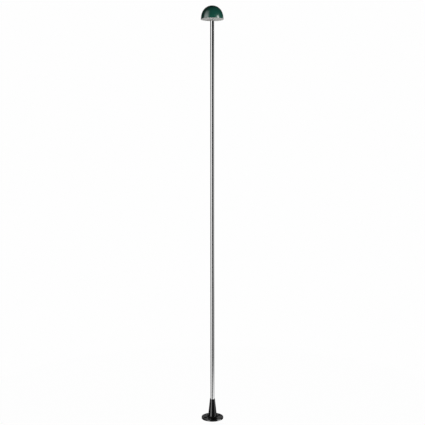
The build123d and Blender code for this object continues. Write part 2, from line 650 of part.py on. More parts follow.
# The boss brazed inside the crown, with the stud that screws into the saddle
with BuildPart() as shade_boss:
    with BuildSketch(head_section) as boss_section:
        crown_inner_radius = CROWN_RADIUS - SHADE_WALL
        boss_turn = degrees(acos(BOSS_RADIUS / crown_inner_radius))
        with BuildLine():
            boss_seat = CenterArc((0, crown_centre), crown_inner_radius, boss_turn, 90 - boss_turn)
            Polyline(
                boss_seat @ 0,
                (BOSS_RADIUS, SADDLE_TOP),
                (STUD_RADIUS - FIT_GAP, SADDLE_TOP),
                (STUD_RADIUS - FIT_GAP, SADDLE_TOP - STUD_LENGTH),
                (0, SADDLE_TOP - STUD_LENGTH),
                boss_seat @ 1,
            )
        make_face()
        chamfer(corner(boss_section, STUD_RADIUS, SADDLE_TOP - STUD_LENGTH), STUD_POINT)
    revolve(axis=Axis.Z)

pieces = {
    "floor_pad": floor_pad,
    "foot_casting": foot_casting,
    "pole_grub_screws": pole_grub_screws,
    "base_cover": base_cover,
    "cable_grommet": cable_grommet,
    "terminal_block": terminal_block,
    "terminal_sleeves": terminal_sleeves,
    "terminal_screws": terminal_screws,
    "terminal_block_screw": terminal_block_screw,
    "seat_grommet": seat_grommet,
    "pole": pole,
    "supply_lead": supply_lead,
    "lead_cores": lead_cores,
    "pole_hub": pole_hub,
    "head_nipple": head_nipple,
    "head_lock_washer": head_lock_washer,
    "head_nut": head_nut,
    "heat_sink_tray": heat_sink_tray,
    "led_board": led_board,
    "led_chips": led_chips,
    "led_board_screws": led_board_screws,
    "led_driver": led_driver,
    "driver_screws": driver_screws,
    "driver_input_cores": driver_input_cores,
    "driver_output_cores": driver_output_cores,
    "diffuser": diffuser,
    "diffuser_screws": diffuser_screws,
    "shade_saddle": shade_saddle,
    "saddle_screws": saddle_screws,
    "shade": shade,
    "shade_boss": shade_boss,
}
os.makedirs("parts", exist_ok=True)
for name, piece in pieces.items():
    piece.part.label = name
    export_step(piece.part, f"parts/{name}.step")
print(f"core bend radii: {core_bend_radius:.1f} mm in the foot, {CORE_BEND:.1f} mm in the head")
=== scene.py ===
from math import acos, atan2, cos, pi, radians, sin, sqrt, tan

import bpy
from mathutils import Matrix, Vector


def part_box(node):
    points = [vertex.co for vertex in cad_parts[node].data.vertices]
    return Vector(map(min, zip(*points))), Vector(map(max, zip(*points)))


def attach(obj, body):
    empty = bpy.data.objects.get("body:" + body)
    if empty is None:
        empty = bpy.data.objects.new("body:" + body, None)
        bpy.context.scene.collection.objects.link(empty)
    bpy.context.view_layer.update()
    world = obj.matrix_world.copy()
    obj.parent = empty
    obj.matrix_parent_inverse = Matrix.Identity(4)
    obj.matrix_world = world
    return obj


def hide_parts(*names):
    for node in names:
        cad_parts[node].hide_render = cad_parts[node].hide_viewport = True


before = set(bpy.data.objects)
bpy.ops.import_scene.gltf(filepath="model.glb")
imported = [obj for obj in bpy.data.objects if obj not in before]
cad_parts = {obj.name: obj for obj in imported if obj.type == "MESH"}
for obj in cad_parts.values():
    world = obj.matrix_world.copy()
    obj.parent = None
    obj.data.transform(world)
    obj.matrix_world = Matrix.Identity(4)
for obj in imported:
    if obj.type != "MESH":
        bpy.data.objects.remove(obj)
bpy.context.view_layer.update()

bl_info = {
    "name": "Dome Head Pole Lamp",
    "version": (1, 0, 0),
    "blender": (4, 5, 0),
    "location": "View3D > Sidebar > Lamp",
    "description": "Dresses a slim floor lamp: enamelled dome, opal disc, chromed pole and cast foot",
    "category": "Object",
}

MM = 0.001
STAND = "stand"
SHADE = "shade"
# The studio floor lies this far under the pad, so that the two faces never share a place
FLOOR_GAP = 0.2 * MM
# The studio as the lamp's gloss sees it: each patch's left, right, low and high edge as an angle and its
# blur, all in degrees, and the patch's brightness. Zero is straight towards the camera and level.
PANELS = (
    # Left: the stripe down the pole and the glow on the dome
    ((-56, 4), (-25, 3), (-100, 5), (9.4, 0.8), 2.35),
    ((-88, 14), (-39, 15), (9.4, 0.8), (33, 32), 5.0),
    # Right: the stripe down the pole and the highlight on the dome
    ((64, 5), (104, 5), (-100, 5), (6, 3.5), 0.72),
    ((50, 8), (71, 10), (9.4, 0.8), (17, 11), 16.0),
    # Right and low: the pole's lower end, which is brighter
    ((52, 8), (98, 10), (-100, 5), (-18.0, 2.6), 2.2),
    ((58, 8), (92, 10), (-100, 5), (-19.3, 0.8), 2.2),
    # The haze round the dome's highlight, and the dim front low down
    ((30, 20), (90, 25), (9.4, 0.8), (24, 16), 0.7),
    ((-20, 6), (50, 6), (-100, 5), (-16.8, 1.5), 0.17),
    # Beside and behind: the greys along the edges of the pole and the dome
    ((-210, 5), (-125, 8), (-100, 5), (12, 3), 0.35),
    ((165, 4), (210, 5), (-100, 5), (12, 3), 0.35),
    ((112, 6), (160, 4), (-10, 3), (12, 3), 0.8),
    ((-125, 6), (-92, 6), (-3.5, 2), (5, 2), 0.4),
    ((-210, 5), (-150, 6), (12, 3), (40, 4), 0.25),
    ((150, 6), (210, 5), (12, 3), (40, 4), 0.25),
    ((-150, 10), (-95, 10), (10, 2), (75, 15), 0.05),
    # A faint light over the whole right front
    ((-30, 8), (140, 8), (-100, 5), (100, 5), 0.02),
)
# The soft lamps that only light the paint and the opal: name, place in metres and power in watts
SOFTBOXES = (
    ("key_softbox", (1.4, -2.2, 1.0), 64.0),
    ("fill_softbox", (-2.2, -1.4, 1.7), 11.0),
    ("back_softbox", (-0.8, 2.6, 1.75), 50.0),
)
# Width and height of a soft lamp in metres
SOFTBOX_SIZE = (1.0, 1.4)
# Circles of LED chips under the board: radius in millimetres and count
CHIP_RINGS = ((31.5, 18), (21.0, 12))
# Points closer than this are one
SAME_POINT = 0.005 * MM
# Faces that meet at less than this angle shade as one
SMOOTH_ANGLE = radians(35)
# Most of a noise pattern's values lie in this range
NOISE_SPREAD = (0.3, 0.7)
# At a scale of 1 a wave pattern repeats every 0.314 m
WAVE_REPEAT = 0.314

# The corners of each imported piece's box, and the levels and radii that follow from them, in metres
LOW = {node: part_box(node)[0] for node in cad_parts}
HIGH = {node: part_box(node)[1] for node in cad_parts}
RIM_LEVEL = LOW["shade"].z
LAMP_TOP = HIGH["shade"].z
RIM_RADIUS = HIGH["shade"].x
POLE_RADIUS = HIGH["pole"].x
FOOT_RADIUS = HIGH["foot_casting"].x
FOOT_UNDER = LOW["foot_casting"].z
CONE_TOP = HIGH["foot_casting"].z
PAD_TOP = HIGH["floor_pad"].z
TRAY_UNDER = LOW["heat_sink_tray"].z
TRAY_TOP = LOW["shade_saddle"].z
SADDLE_TOP = HIGH["shade_saddle"].z


def linear(hex_colour):
    """An sRGB hex colour as linear RGBA."""
    channels = [int(hex_colour[i:i + 2], 16) / 255 for i in (1, 3, 5)]
    return tuple(c / 12.92 if c <= 0.04045 else ((c + 0.055) / 1.055) ** 2.4 for c in channels) + (1.0,)


def length(name, description, millimetres):
    """A length property that is given in millimetres."""
    return bpy.props.FloatProperty(
        name=name, description=description, default=millimetres * MM, unit="LENGTH", precision=5
    )


def turn(name, description, degrees):
    """An angle property that is given in degrees."""
    return bpy.props.FloatProperty(
        name=name, description=description, default=radians(degrees), unit="ROTATION", subtype="ANGLE"
    )


def colour(name, description, hex_colour):
    """A colour property that is given as an sRGB hex value."""
    return bpy.props.FloatVectorProperty(
        name=name, description=description, default=linear(hex_colour), size=4, min=0, max=1, subtype="COLOR"
    )


class LampSizes(bpy.types.PropertyGroup):
    """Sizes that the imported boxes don't give."""
    crown_radius: length("Crown radius", "Radius of the arc over the top of the shade", 49.0)
    shade_wall: length("Shade wall", "Thickness of the spun steel", 1.2)
    rim_round: length("Rim round", "Rounding of the shade's cut rim", 0.4)
    stud: length("Stud", "Radius of the shade's stud", 2.95)
    stud_pitch: length("Stud pitch", "Thread pitch of the stud and the nipple", 1.0)
    thread_gap: length("Thread gap", "Room between a screw or the pole and its hole", 0.05)
    disc_lip: length("Disc lip", "Thickness of the disc's lip under the rim", 1.2)
    disc: length("Disc", "Thickness of the opal disc inside the rim", 2.6)
    disc_spigot: length("Disc spigot", "Radius of the disc inside the shade", 49.4)
    disc_gap: length("Disc gap", "Room between the disc and the pole", 0.3)
    disc_collar: length("Disc collar", "Wall of the collar round the pole", 1.6)
    disc_collar_height: length("Disc collar height", "Height of the collar above the disc", 2.0)
    disc_boss: length("Disc boss", "Radius of the disc's screw bosses", 3.0)
    disc_edge: length("Disc edge", "Rounding of the disc's moulded edges", 0.35)
    pole_wall: length("Pole wall", "Thickness of the tube", 1.2)
    pole_edge: length("Pole edge", "Rounding of the tube's cut ends", 0.2)
    flange_top: length("Flange top", "Height of the foot's flange above the floor", 8.2)
    flange_round: length("Flange round", "Rounding of the flange's upper edge", 2.0)
    cone_base: length("Cone base", "Radius of the cone where it meets the flange", 21.0)
    cone_mouth: length("Cone mouth", "Radius of the cone at its top", 11.7)
    cone_root: length("Cone root", "Rounding between the cone and the flange", 0.5)
    cavity: length("Cavity", "Radius of the wiring space in the foot", 14.0)
    seat_hole: length("Seat hole", "Radius of the hole in the pole's seat", 6.5)
    screw_circle: length("Screw circle", "Radius of the circle of floor screws", 36.0)
    screw_turn: turn("Screw turn", "Turn of the first floor screw", 26.5)
    screw_hole: length("Screw hole", "Radius of a floor screw's hole", 3.0)
    screw_sink: length("Screw sink", "Radius of a floor screw's countersink", 7.0)
    set_screw: length("Set screw", "Radius of the two set screws", 2.45)
    set_screw_pitch: length("Set screw pitch", "Thread pitch of the two set screws", 0.8)
    pad_hole: length("Pad hole", "Radius of the pad's middle hole", 18.0)
    pad_screw_hole: length("Pad screw hole", "Radius of the pad's screw holes", 4.5)
    cover_plate: length("Cover plate", "Thickness of the cover under the foot", 1.5)
    bush_neck: length("Bush neck", "Radius of the cable bush in the cover", 5.0)
    cable_bore: length("Cable bore", "Radius of the bores that the lead passes", 3.5)
    tray_wall: length("Tray wall", "Wall of the tray's upright rim", 1.5)
    tray_hole: length("Tray hole", "Radius of the tray's hole for the nipple", 5.2)
    driver_length: length("Driver length", "Length of the driver's box", 40.0)
    driver_lid: length("Driver lid", "Height of the driver's lid with its gap", 4.0)
    driver_ear: length("Driver ear", "Thickness of the driver's ears", 2.0)
    saddle_span: length("Saddle span", "Distance between the middles of the saddle's legs", 50.0)
    saddle_bend: length("Saddle bend", "Bend radius of the strip's middle", 2.5)
    strip: length("Strip", "Thickness of the saddle's strip", 2.0)
    head: length("Screw head", "Radius of a small screw's head", 2.5)
    head_height: length("Screw head height", "Height of a small screw's head", 1.8)
    shank: length("Screw shank", "Radius of a small screw's shank", 1.45)
    shank_pitch: length("Screw pitch", "Thread pitch of a small screw", 0.5)
    chip: length("Chip", "Width of an LED chip", 2.8)
    core: length("Core", "Radius of an insulated core", 0.65)


class LampColours(bpy.types.PropertyGroup):
    """Colours of the finishes."""
    enamel: colour("Enamel", "Green enamel of the shade", "#1F5A4C")
    enamel_drift: colour("Enamel drift", "Darker drift in the green enamel", "#1B5145")
    inside: colour("Inside", "White enamel inside the shade", "#ECEBE5")
    chrome: colour("Chrome", "Polished chrome plate", "#C7C7C7")
    iron: colour("Iron", "Black enamel of the casting", "#0B0B0C")
    opal: colour("Opal", "Opal acrylic of the disc", "#C6C6C3")
    rubber: colour("Rubber", "Black rubber of the pad and bushes", "#161616")
    plastic: colour("Plastic", "Black plastic of the cover", "#1C1C1D")
    oxide: colour("Oxide", "Black oxide on the set screws", "#2B2A2A")
    zinc: colour("Zinc", "Zinc plate on screws and saddle", "#B7BABD")
    aluminium: colour("Aluminium", "Bare aluminium of tray and hub", "#C9CACB")
    brass: colour("Brass", "Bare brass of the sleeves", "#BC9645")
    mask: colour("Mask", "White solder mask of the board", "#EDEDE8")
    chip_body: colour("Chip body", "White plastic round each chip", "#F1F0EA")
    phosphor: colour("Phosphor", "Phosphor gel of the chips", "#F2CE4A")
    case: colour("Case", "Moulded case of the driver", "#DAD9D3")
    sheath: colour("Sheath", "Sheath of the lead", "#1E1E1E")
    core_live: colour("Live core", "First core's insulation", "#A3231C")
    core_return: colour("Return core", "Second core's insulation", "#191919")
    polyamide: colour("Polyamide", "Natural polyamide of the connector", "#E2DDC9")


class StageSettings(bpy.types.PropertyGroup):
    """Camera and floor."""
    camera_back: length("Camera back", "Distance of the lens from the pole's axis", 3600)
    camera_height: length("Camera height", "Height of the lens above the floor", 1310)
    camera_side: length("Camera side", "Sideways place of the lens", 1.0)
    camera_pitch: turn("Camera pitch", "How far the lens looks down", 5.398)
    camera_roll: turn("Camera roll", "Tilt of the picture", 0.033)
    camera_angle: turn("Camera angle", "Angle of view across the picture", 30.155)
    floor_radius: length("Floor", "Radius of the white floor round the lamp", 1300)
    surround_radius: length("Surround", "Radius of the white surround", 18000)


def deselect():
    """Leaves nothing selected, in object mode."""
    if bpy.context.object and bpy.context.object.mode != "OBJECT":
        bpy.ops.object.mode_set(mode="OBJECT")
    bpy.ops.object.select_all(action="DESELECT")


def pick(piece):
    """Leaves one piece selected and active."""
    deselect()
    piece.select_set(True)
    bpy.context.view_layer.objects.active = piece


def seat(piece):
    """Moves a piece's place and turn into its mesh."""
    pick(piece)
    bpy.ops.object.transform_apply(location=True, rotation=True, scale=True)
    return piece


def arc(centre, radius, start, end, steps):
    """Points on an arc in a section, as (radius, height)."""
    angles = [start + (end - start) * i / steps for i in range(steps + 1)]
    return [(centre[0] + radius * cos(a), centre[1] + radius * sin(a)) for a in angles]


def outline(*corners, steps=5):
    """A closed section through corners of (radius, height), or of (radius, height, rounding) for an arc."""
    points = []
    for i, (across, up, *rounding) in enumerate(corners):
        if not rounding:
            points.append((across, up))
            continue
        here = Vector((across, up))
        before = (Vector(corners[i - 1][:2]) - here).normalized()
        after = (Vector(corners[(i + 1) % len(corners)][:2]) - here).normalized()
        half = before.angle(after) / 2
        centre = here + (before + after).normalized() * rounding[0] / sin(half)
        start = (here + before * rounding[0] / tan(half) - centre).normalized()
        end = (here + after * rounding[0] / tan(half) - centre).normalized()
        points += [tuple(centre + start.slerp(end, j / steps) * rounding[0]) for j in range(steps + 1)]
    return points + points[:1]


def thread(radius, pitch, start, end):
    """The zigzag corners of a screw thread along a shaft, from one height to another."""
    turns = max(1, round(abs(end - start) / pitch))
    rise = (end - start) / turns
    root = radius - 0.5 * pitch
    corners = []
    for i in range(turns):
        corners += [(root, start + i * rise), (radius, start + (i + 0.5) * rise)]
    return corners + [(root, end)]


def trace(name, points):
    """A new object in edit mode that holds one chain of edges through points of (across, height)."""
    deselect()
    bpy.ops.mesh.primitive_plane_add(size=MM)
    piece = bpy.context.object
    piece.name = name
    piece.data.name = name
    bpy.ops.object.mode_set(mode="EDIT")
    bpy.ops.mesh.select_mode(type="VERT")
    bpy.ops.mesh.select_all(action="SELECT")
    bpy.ops.mesh.merge(type="CENTER")
    bpy.ops.transform.translate(value=(points[0][0], 0, points[0][1]))
    for before, after in zip(points, points[1:]):
        step = (after[0] - before[0], 0, after[1] - before[1])
        bpy.ops.mesh.extrude_vertices_move(TRANSFORM_OT_translate={"value": step})
    bpy.ops.mesh.select_all(action="SELECT")
    return piece


def lathe(name, section, steps=96):
    """Spins a section of (radius, height) points round the pole's axis into a new piece."""
    piece = trace(name, section)
    bpy.ops.mesh.spin(steps=steps, angle=2 * pi, center=(0, 0, 0), axis=(0, 0, 1))
    bpy.ops.mesh.select_all(action="SELECT")
    bpy.ops.mesh.remove_doubles(threshold=SAME_POINT)
    bpy.ops.mesh.normals_make_consistent(inside=False)
    bpy.ops.object.mode_set(mode="OBJECT")
    return piece


def block(name, low, high):
    """A box between two corners, to be cut, softened or joined."""
    deselect()
    low, high = Vector(low), Vector(high)
    bpy.ops.mesh.primitive_cube_add(size=1, location=(low + high) / 2, scale=high - low)
    piece = bpy.context.object
    piece.name = name
    return seat(piece)


def rod(name, radius, start, end, sides=48):
    """A prism or cylinder between two points, to be cut with, softened or joined."""
    deselect()
    start, end = Vector(start), Vector(end)
    bpy.ops.mesh.primitive_cylinder_add(
        vertices=sides, radius=radius, depth=(end - start).length, location=(start + end) / 2,
        rotation=(end - start).to_track_quat("Z", "Y").to_euler(),
    )
    piece = bpy.context.object
    piece.name = name
    return seat(piece)


def join(pieces):
    """Joins pieces into the first of them."""
    pick(pieces[0])
    for piece in pieces:
        piece.select_set(True)
    bpy.ops.object.join()
    return pieces[0]


def repeat(piece, spots):
    """Stands a copy of a piece, with its own mesh, at each spot, and joins the copies into one piece."""
    made = []
    for spot in spots:
        pick(piece)
        bpy.ops.object.duplicate(linked=False)
        made.append(bpy.context.object)
        made[-1].matrix_world = spot
        seat(made[-1])
    name = piece.name
    bpy.data.objects.remove(piece)
    whole = join(made)
    whole.name = name
    return whole


def modify(piece, kind, **settings):
    """Adds a modifier with its settings to a piece and applies it."""
    pick(piece)
    bpy.ops.object.modifier_add(type=kind)
    tool = piece.modifiers[-1]
    for key, value in settings.items():
        setattr(tool, key, value)
    bpy.ops.object.modifier_apply(modifier=tool.name)
    return piece


def cut(piece, cutter):
    """Takes a cutter's shape out of a piece."""
    modify(piece, "BOOLEAN", operation="DIFFERENCE", solver="EXACT", object=cutter)
    bpy.data.objects.remove(cutter)
    return piece


def soften(piece, width, segments=3, angle=30):
    """Rounds a piece's sharp edges."""
    return modify(
        piece, "BEVEL", width=width, segments=segments, limit_method="ANGLE", angle_limit=radians(angle)
    )


def select_faces(piece, test):
    """Opens a piece in edit mode with only the faces selected that pass a test."""
    pick(piece)
    bpy.ops.object.mode_set(mode="EDIT")
    bpy.ops.mesh.select_mode(type="FACE")
    bpy.ops.mesh.select_all(action="DESELECT")
    bpy.ops.object.mode_set(mode="OBJECT")
    for face in piece.data.polygons:
        face.select = test(face)
    bpy.ops.object.mode_set(mode="EDIT")


def around(radius, count, start, level):
    """Spots on a circle round the pole's axis, each turned to face outwards."""
    return [
        Matrix.Rotation(start + 2 * pi * i / count, 4, "Z") @ Matrix.Translation((radius, 0, level))
        for i in range(count)
    ]


def dress(piece, body, nodes, makers):
    """Sits a finished piece on its body, in place of its nodes, with its finishes."""
    seat(piece)
    bpy.ops.object.shade_smooth_by_angle(angle=SMOOTH_ANGLE)
    modify(piece, "WEIGHTED_NORMAL", keep_sharp=True)
    piece.data.materials.clear()
    for maker in makers:
        piece.data.materials.append(coat(maker))
    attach(piece, body)
    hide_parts(*nodes)


def paint(maker, *nodes):
    """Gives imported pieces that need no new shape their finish."""
    for node in nodes:
        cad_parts[node].data.materials[0] = coat(maker)


def add(tree, kind, sockets=None, **settings):
    """Adds a shader node with its settings and links.

    A socket takes a value, another node's output, or another node, which gives its first live output.
    """
    made = tree.nodes.new("ShaderNode" + kind)
    for key, value in settings.items():
        setattr(made, key, value)
    for key, value in (sockets or {}).items():
        if isinstance(value, bpy.types.Node):
            value = next(output for output in value.outputs if output.enabled)
        if isinstance(value, bpy.types.NodeSocket):
            tree.links.new(value, made.inputs[key])
        else:
            made.inputs[key].default_value = value
    return made


def finish(name):
    """A new material with an empty tree: the material, its tree and its Object coordinates."""
    made = bpy.data.materials.new(name)
    made.use_nodes = True
    made.node_tree.nodes.clear()
    coordinates = add(made.node_tree, "TexCoord").outputs["Object"]
    return made, made.node_tree, coordinates


def coat(maker):
    """The finish that a maker function draws, made once and named after it."""
    made = bpy.data.materials.get(maker.__name__)
    if made is None:
        made, tree, place = finish(maker.__name__)
        maker(tree, place, bpy.context.scene.lamp_colours)
    return made


def surface(tree, sockets, tone=None, gloss=None, spread=(0.0, 1.0), relief=None):
    """Adds the Principled shader with its sockets and the output, and what the finish's patterns drive.

    tone is a pattern and the two colours that it mixes, gloss is a pattern and the roughness at the two ends
    of its spread, and relief is a pattern, its strength and its height in millimetres.
    """
    sockets = dict(sockets)
    if tone:
        pattern, first, second = tone
        sockets["Base Color"] = add(
            tree, "Mix", {"Factor": pattern, "A": first, "B": second}, data_type="RGBA"
        )
    if gloss:
        pattern, start, end = gloss
        sockets["Roughness"] = add(tree, "MapRange", {
            "Value": pattern, "From Min": spread[0], "From Max": spread[1], "To Min": start, "To Max": end,
        })
    if relief:
        pattern, strength, height = relief
        sockets["Normal"] = add(
            tree, "Bump", {"Height": pattern, "Strength": strength, "Distance": height * MM}
        )
    add(tree, "OutputMaterial", {"Surface": add(tree, "BsdfPrincipled", sockets)})


def per(millimetres):
    """The texture scale whose features are about this size."""
    return 1 / (millimetres * MM)


def green_stove_enamel(tree, place, colours):
    """Dark green stove enamel on spun steel: a deep wet gloss with a faint orange peel."""
    drift = add(tree, "TexNoise", {"Vector": place, "Scale": per(22), "Detail": 2.0})
    smear = add(tree, "TexNoise", {"Vector": place, "Scale": per(9), "Detail": 3.0})
    peel = add(tree, "TexNoise", {"Vector": place, "Scale": per(2.2), "Detail": 1.0})
    surface(
        tree, {"IOR": 1.52}, tone=(drift, colours.enamel_drift, colours.enamel),
        gloss=(smear, 0.05, 0.09), spread=NOISE_SPREAD, relief=(peel, 0.12, 0.02),
    )


def white_stove_enamel(tree, place, colours):
    """White enamel inside the shade: it throws the stray light back, with a soft gloss."""
    peel = add(tree, "TexNoise", {"Vector": place, "Scale": per(1.6), "Detail": 2.0})
    surface(
        tree, {"Base Color": colours.inside, "IOR": 1.5},
        gloss=(peel, 0.24, 0.32), spread=NOISE_SPREAD, relief=(peel, 0.08, 0.03),
    )


def polished_chrome_plate(tree, place, colours):
    """Bright chrome plate on drawn tube: a mirror with faint lengthwise drawing lines and hand smears."""
    along = add(tree, "Mapping", {"Vector": place, "Scale": (1.0, 1.0, 0.004)})
    lines = add(tree, "TexNoise", {"Vector": along, "Scale": per(0.8), "Detail": 2.0})
    smear = add(tree, "TexNoise", {"Vector": place, "Scale": per(30), "Detail": 4.0})
    surface(
        tree, {"Base Color": colours.chrome, "Metallic": 1.0},
        gloss=(smear, 0.02, 0.045), spread=(0.35, 0.7), relief=(lines, 0.05, 0.004),
    )


def black_enamelled_iron(tree, place, colours):
    """Gloss black enamel over sand-cast iron: wet highlights that ripple over the casting's grain.

    In the corner around the cone and round the screw holes the gloss is made rougher and its reflection is
    turned down: painted shade that keeps these recesses dark.
    """
    sizes = bpy.context.scene.lamp_sizes
    grain = add(tree, "TexNoise", {"Vector": place, "Scale": per(1.4), "Detail": 3.0})
    ripple = add(tree, "TexNoise", {"Vector": place, "Scale": per(12), "Detail": 1.0})
    wave = add(tree, "Bump", {"Height": ripple, "Strength": 0.2, "Distance": 0.12 * MM})
    relief = add(
        tree, "Bump", {"Height": grain, "Strength": 0.12, "Distance": 0.03 * MM, "Normal": wave}
    )
    low, high = NOISE_SPREAD
    gloss = add(tree, "MapRange", {
        "Value": grain, "From Min": low, "From Max": high, "To Min": 0.06, "To Max": 0.11,
    })
    # Each spot's radius and height, in which the corner's circle is one point
    flat = add(tree, "VectorMath", {0: place, 1: (1.0, 1.0, 0.0)}, operation="MULTIPLY")
    reach = add(tree, "VectorMath", {0: flat}, operation="LENGTH")
    rise = add(tree, "SeparateXYZ", {"Vector": place}).outputs["Z"]
    section = add(tree, "CombineXYZ", {"X": reach, "Z": rise})
    # Each spot turned and folded until all four screws lie on the first
    spun = add(tree, "Mapping", {"Vector": flat, "Rotation": (0, 0, -sizes.screw_turn)})
    size = add(tree, "VectorMath", {0: spun}, operation="ABSOLUTE")
    sides = add(tree, "SeparateXYZ", {"Vector": size}).outputs
    along = add(tree, "Math", {0: sides["X"], 1: sides["Y"]}, operation="MAXIMUM")
    across = add(tree, "Math", {0: sides["X"], 1: sides["Y"]}, operation="MINIMUM")
    folded = add(tree, "CombineXYZ", {"X": along, "Y": across})
    # Painted shade: a mask for the corner round the cone and the screw sinks, where the reflection is turned
    # down
    dull_painted_shade = 0.0
    for spot, middle, near, far in (
        (section, (sizes.cone_base, 0.0, sizes.flange_top), 4 * MM, 7 * MM),
        (folded, (sizes.screw_circle, 0.0, 0.0), 8 * MM, 9.5 * MM),
    ):
        away = add(tree, "VectorMath", {0: spot, 1: middle}, operation="DISTANCE")
        mask = add(tree, "MapRange", {
            "Value": away, "From Min": near, "From Max": far, "To Min": 1.0, "To Max": 0.0,
        })
        dull_painted_shade = add(tree, "Math", {0: dull_painted_shade, 1: mask}, operation="MAXIMUM")
    # The painted-shade mask roughens the gloss and lowers the specular level, so these recesses show no
    # highlight
    surface(tree, {
        "Base Color": colours.iron, "IOR": 1.68, "Normal": relief,
        "Roughness": add(tree, "Math", {0: dull_painted_shade, 1: 0.4, 2: gloss}, operation="MULTIPLY_ADD"),
        "Specular IOR Level": add(tree, "MapRange", {"Value": dull_painted_shade, "To Min": 0.5, "To Max": 0.08}),
    })


def satin_opal_acrylic(tree, place, colours):
    """Opal acrylic with an etched face: light soaks in and leaves an even, soft white."""
    etch = add(tree, "TexNoise", {"Vector": place, "Scale": per(0.7), "Detail": 2.0})
    surface(tree, {
        "Base Color": colours.opal, "IOR": 1.49, "Subsurface Weight": 0.25,
        "Subsurface Radius": (1.0, 1.0, 1.0), "Subsurface Scale": 2 * MM,
    }, gloss=(etch, 0.38, 0.5), spread=NOISE_SPREAD, relief=(etch, 0.15, 0.02))


def moulded_black_rubber(tree, place, colours):
    """Moulded rubber: dull black with a fine pebble and paler dusty rubs."""
    pebble = add(tree, "TexVoronoi", {"Vector": place, "Scale": per(0.9)})
    dust = add(tree, "TexNoise", {"Vector": place, "Scale": per(14), "Detail": 5.0})
    rub = add(tree, "MapRange", {
        "Value": dust, "From Min": 0.5, "From Max": 0.8, "To Min": 0.0, "To Max": 0.25,
    })
    surface(
        tree, {"IOR": 1.52}, tone=(rub, colours.rubber, linear("#3A3A38")),
        gloss=(dust, 0.62, 0.88), relief=(pebble, 0.4, 0.08),
    )


def moulded_black_plastic(tree, place, colours):
    """Moulded ABS with a spark-eroded face: even black with a fine matt sparkle."""
    spark = add(tree, "TexNoise", {"Vector": place, "Scale": per(0.35), "Detail": 3.0})
    flow = add(tree, "TexNoise", {"Vector": place, "Scale": per(11), "Detail": 1.0})
    surface(
        tree, {"IOR": 1.53}, tone=(flow, colours.plastic, linear("#242425")),
        gloss=(spark, 0.42, 0.6), spread=NOISE_SPREAD, relief=(spark, 0.35, 0.03),
    )


def black_oxide_steel(tree, place, colours):
    """Black-oxided steel: a dark oily grey with browner, rubbed patches."""
    patch = add(tree, "TexNoise", {"Vector": place, "Scale": per(1.8), "Detail": 4.0})
    surface(
        tree, {"Metallic": 1.0}, tone=(patch, colours.oxide, linear("#463F39")),
        gloss=(patch, 0.3, 0.5), spread=NOISE_SPREAD, relief=(patch, 0.15, 0.02),
    )


def bright_zinc_plate(tree, place, colours):
    """Bright zinc plate on steel: a cool silver with faint blue and straw tints and a light cloudiness."""
    tint = add(tree, "TexNoise", {"Vector": place, "Scale": per(6), "Detail": 2.0})
    cloud = add(tree, "TexNoise", {"Vector": place, "Scale": per(1.6), "Detail": 2.0})
    shift = add(
        tree, "Mix", {"Factor": tint, "A": linear("#A9B4C4"), "B": linear("#C6BFA8")}, data_type="RGBA"
    )
    surface(
        tree, {"Metallic": 1.0}, tone=(0.35, colours.zinc, shift),
        gloss=(cloud, 0.25, 0.33), spread=NOISE_SPREAD, relief=(cloud, 0.03, 0.02),
    )


def turned_aluminium(tree, place, colours):
    """Turned aluminium: bare bright metal with the tool's fine rings, 0.5 mm apart."""
    rings = add(
        tree, "TexWave",
        {"Vector": place, "Scale": WAVE_REPEAT * per(0.5), "Distortion": 0.6, "Detail": 2.0},
        wave_type="BANDS", bands_direction="Z",
    ).outputs["Fac"]
    haze = add(tree, "TexNoise", {"Vector": place, "Scale": per(5), "Detail": 3.0})
    surface(
        tree, {"Metallic": 1.0}, tone=(haze, colours.aluminium, linear("#B4B5B7")),
        gloss=(rings, 0.24, 0.38), relief=(rings, 0.25, 0.02),
    )


def spun_aluminium(tree, place, colours):
    """Spun aluminium sheet: rings round the middle from the tool, 0.9 mm apart so that they show."""
    rings = add(
        tree, "TexWave",
        {"Vector": place, "Scale": WAVE_REPEAT * per(0.9), "Distortion": 1.2, "Detail": 3.0},
        wave_type="RINGS", rings_direction="Z",
    ).outputs["Fac"]
    haze = add(tree, "TexNoise", {"Vector": place, "Scale": per(12), "Detail": 4.0})
    surface(
        tree, {"Metallic": 1.0}, tone=(haze, colours.aluminium, linear("#B0B1B3")),
        gloss=(rings, 0.28, 0.42), relief=(rings, 0.2, 0.03),
    )


def drawn_brass(tree, place, colours):
    """Bare drawn brass: warm yellow with browner tarnish and lengthwise lines."""
    along = add(tree, "Mapping", {"Vector": place, "Scale": (1.0, 1.0, 0.05)})
    lines = add(tree, "TexNoise", {"Vector": along, "Scale": per(0.3), "Detail": 2.0})
    tarnish = add(tree, "TexNoise", {"Vector": place, "Scale": per(3), "Detail": 4.0})
    surface(
        tree, {"Metallic": 1.0}, tone=(tarnish, colours.brass, linear("#8F6C33")),
        gloss=(tarnish, 0.22, 0.4), spread=NOISE_SPREAD, relief=(lines, 0.1, 0.01),
    )


def white_solder_mask(tree, place, colours):
    """White solder mask on an aluminium board: a smooth skin with the ring tracks below it as low steps."""
    tracks = add(
        tree, "TexWave", {"Vector": place, "Scale": WAVE_REPEAT * per(5.2)},
        wave_type="RINGS", rings_direction="Z",
    ).outputs["Fac"]
    step = add(tree, "MapRange", {"Value": tracks, "From Min": 0.3, "From Max": 0.4})
    haze = add(tree, "TexNoise", {"Vector": place, "Scale": per(2), "Detail": 3.0})
    surface(
        tree, {"IOR": 1.5}, tone=(step, colours.mask, linear("#E2E0D4")),
        gloss=(haze, 0.25, 0.4), relief=(step, 0.4, 0.035),
    )


def white_chip_body(tree, place, colours):
    """Moulded white polyphthalamide round each chip: bright and matt."""
    grain = add(tree, "TexNoise", {"Vector": place, "Scale": per(0.25), "Detail": 2.0})
    surface(
        tree, {"Base Color": colours.chip_body, "IOR": 1.55},
        gloss=(grain, 0.45, 0.65), relief=(grain, 0.2, 0.01),
    )


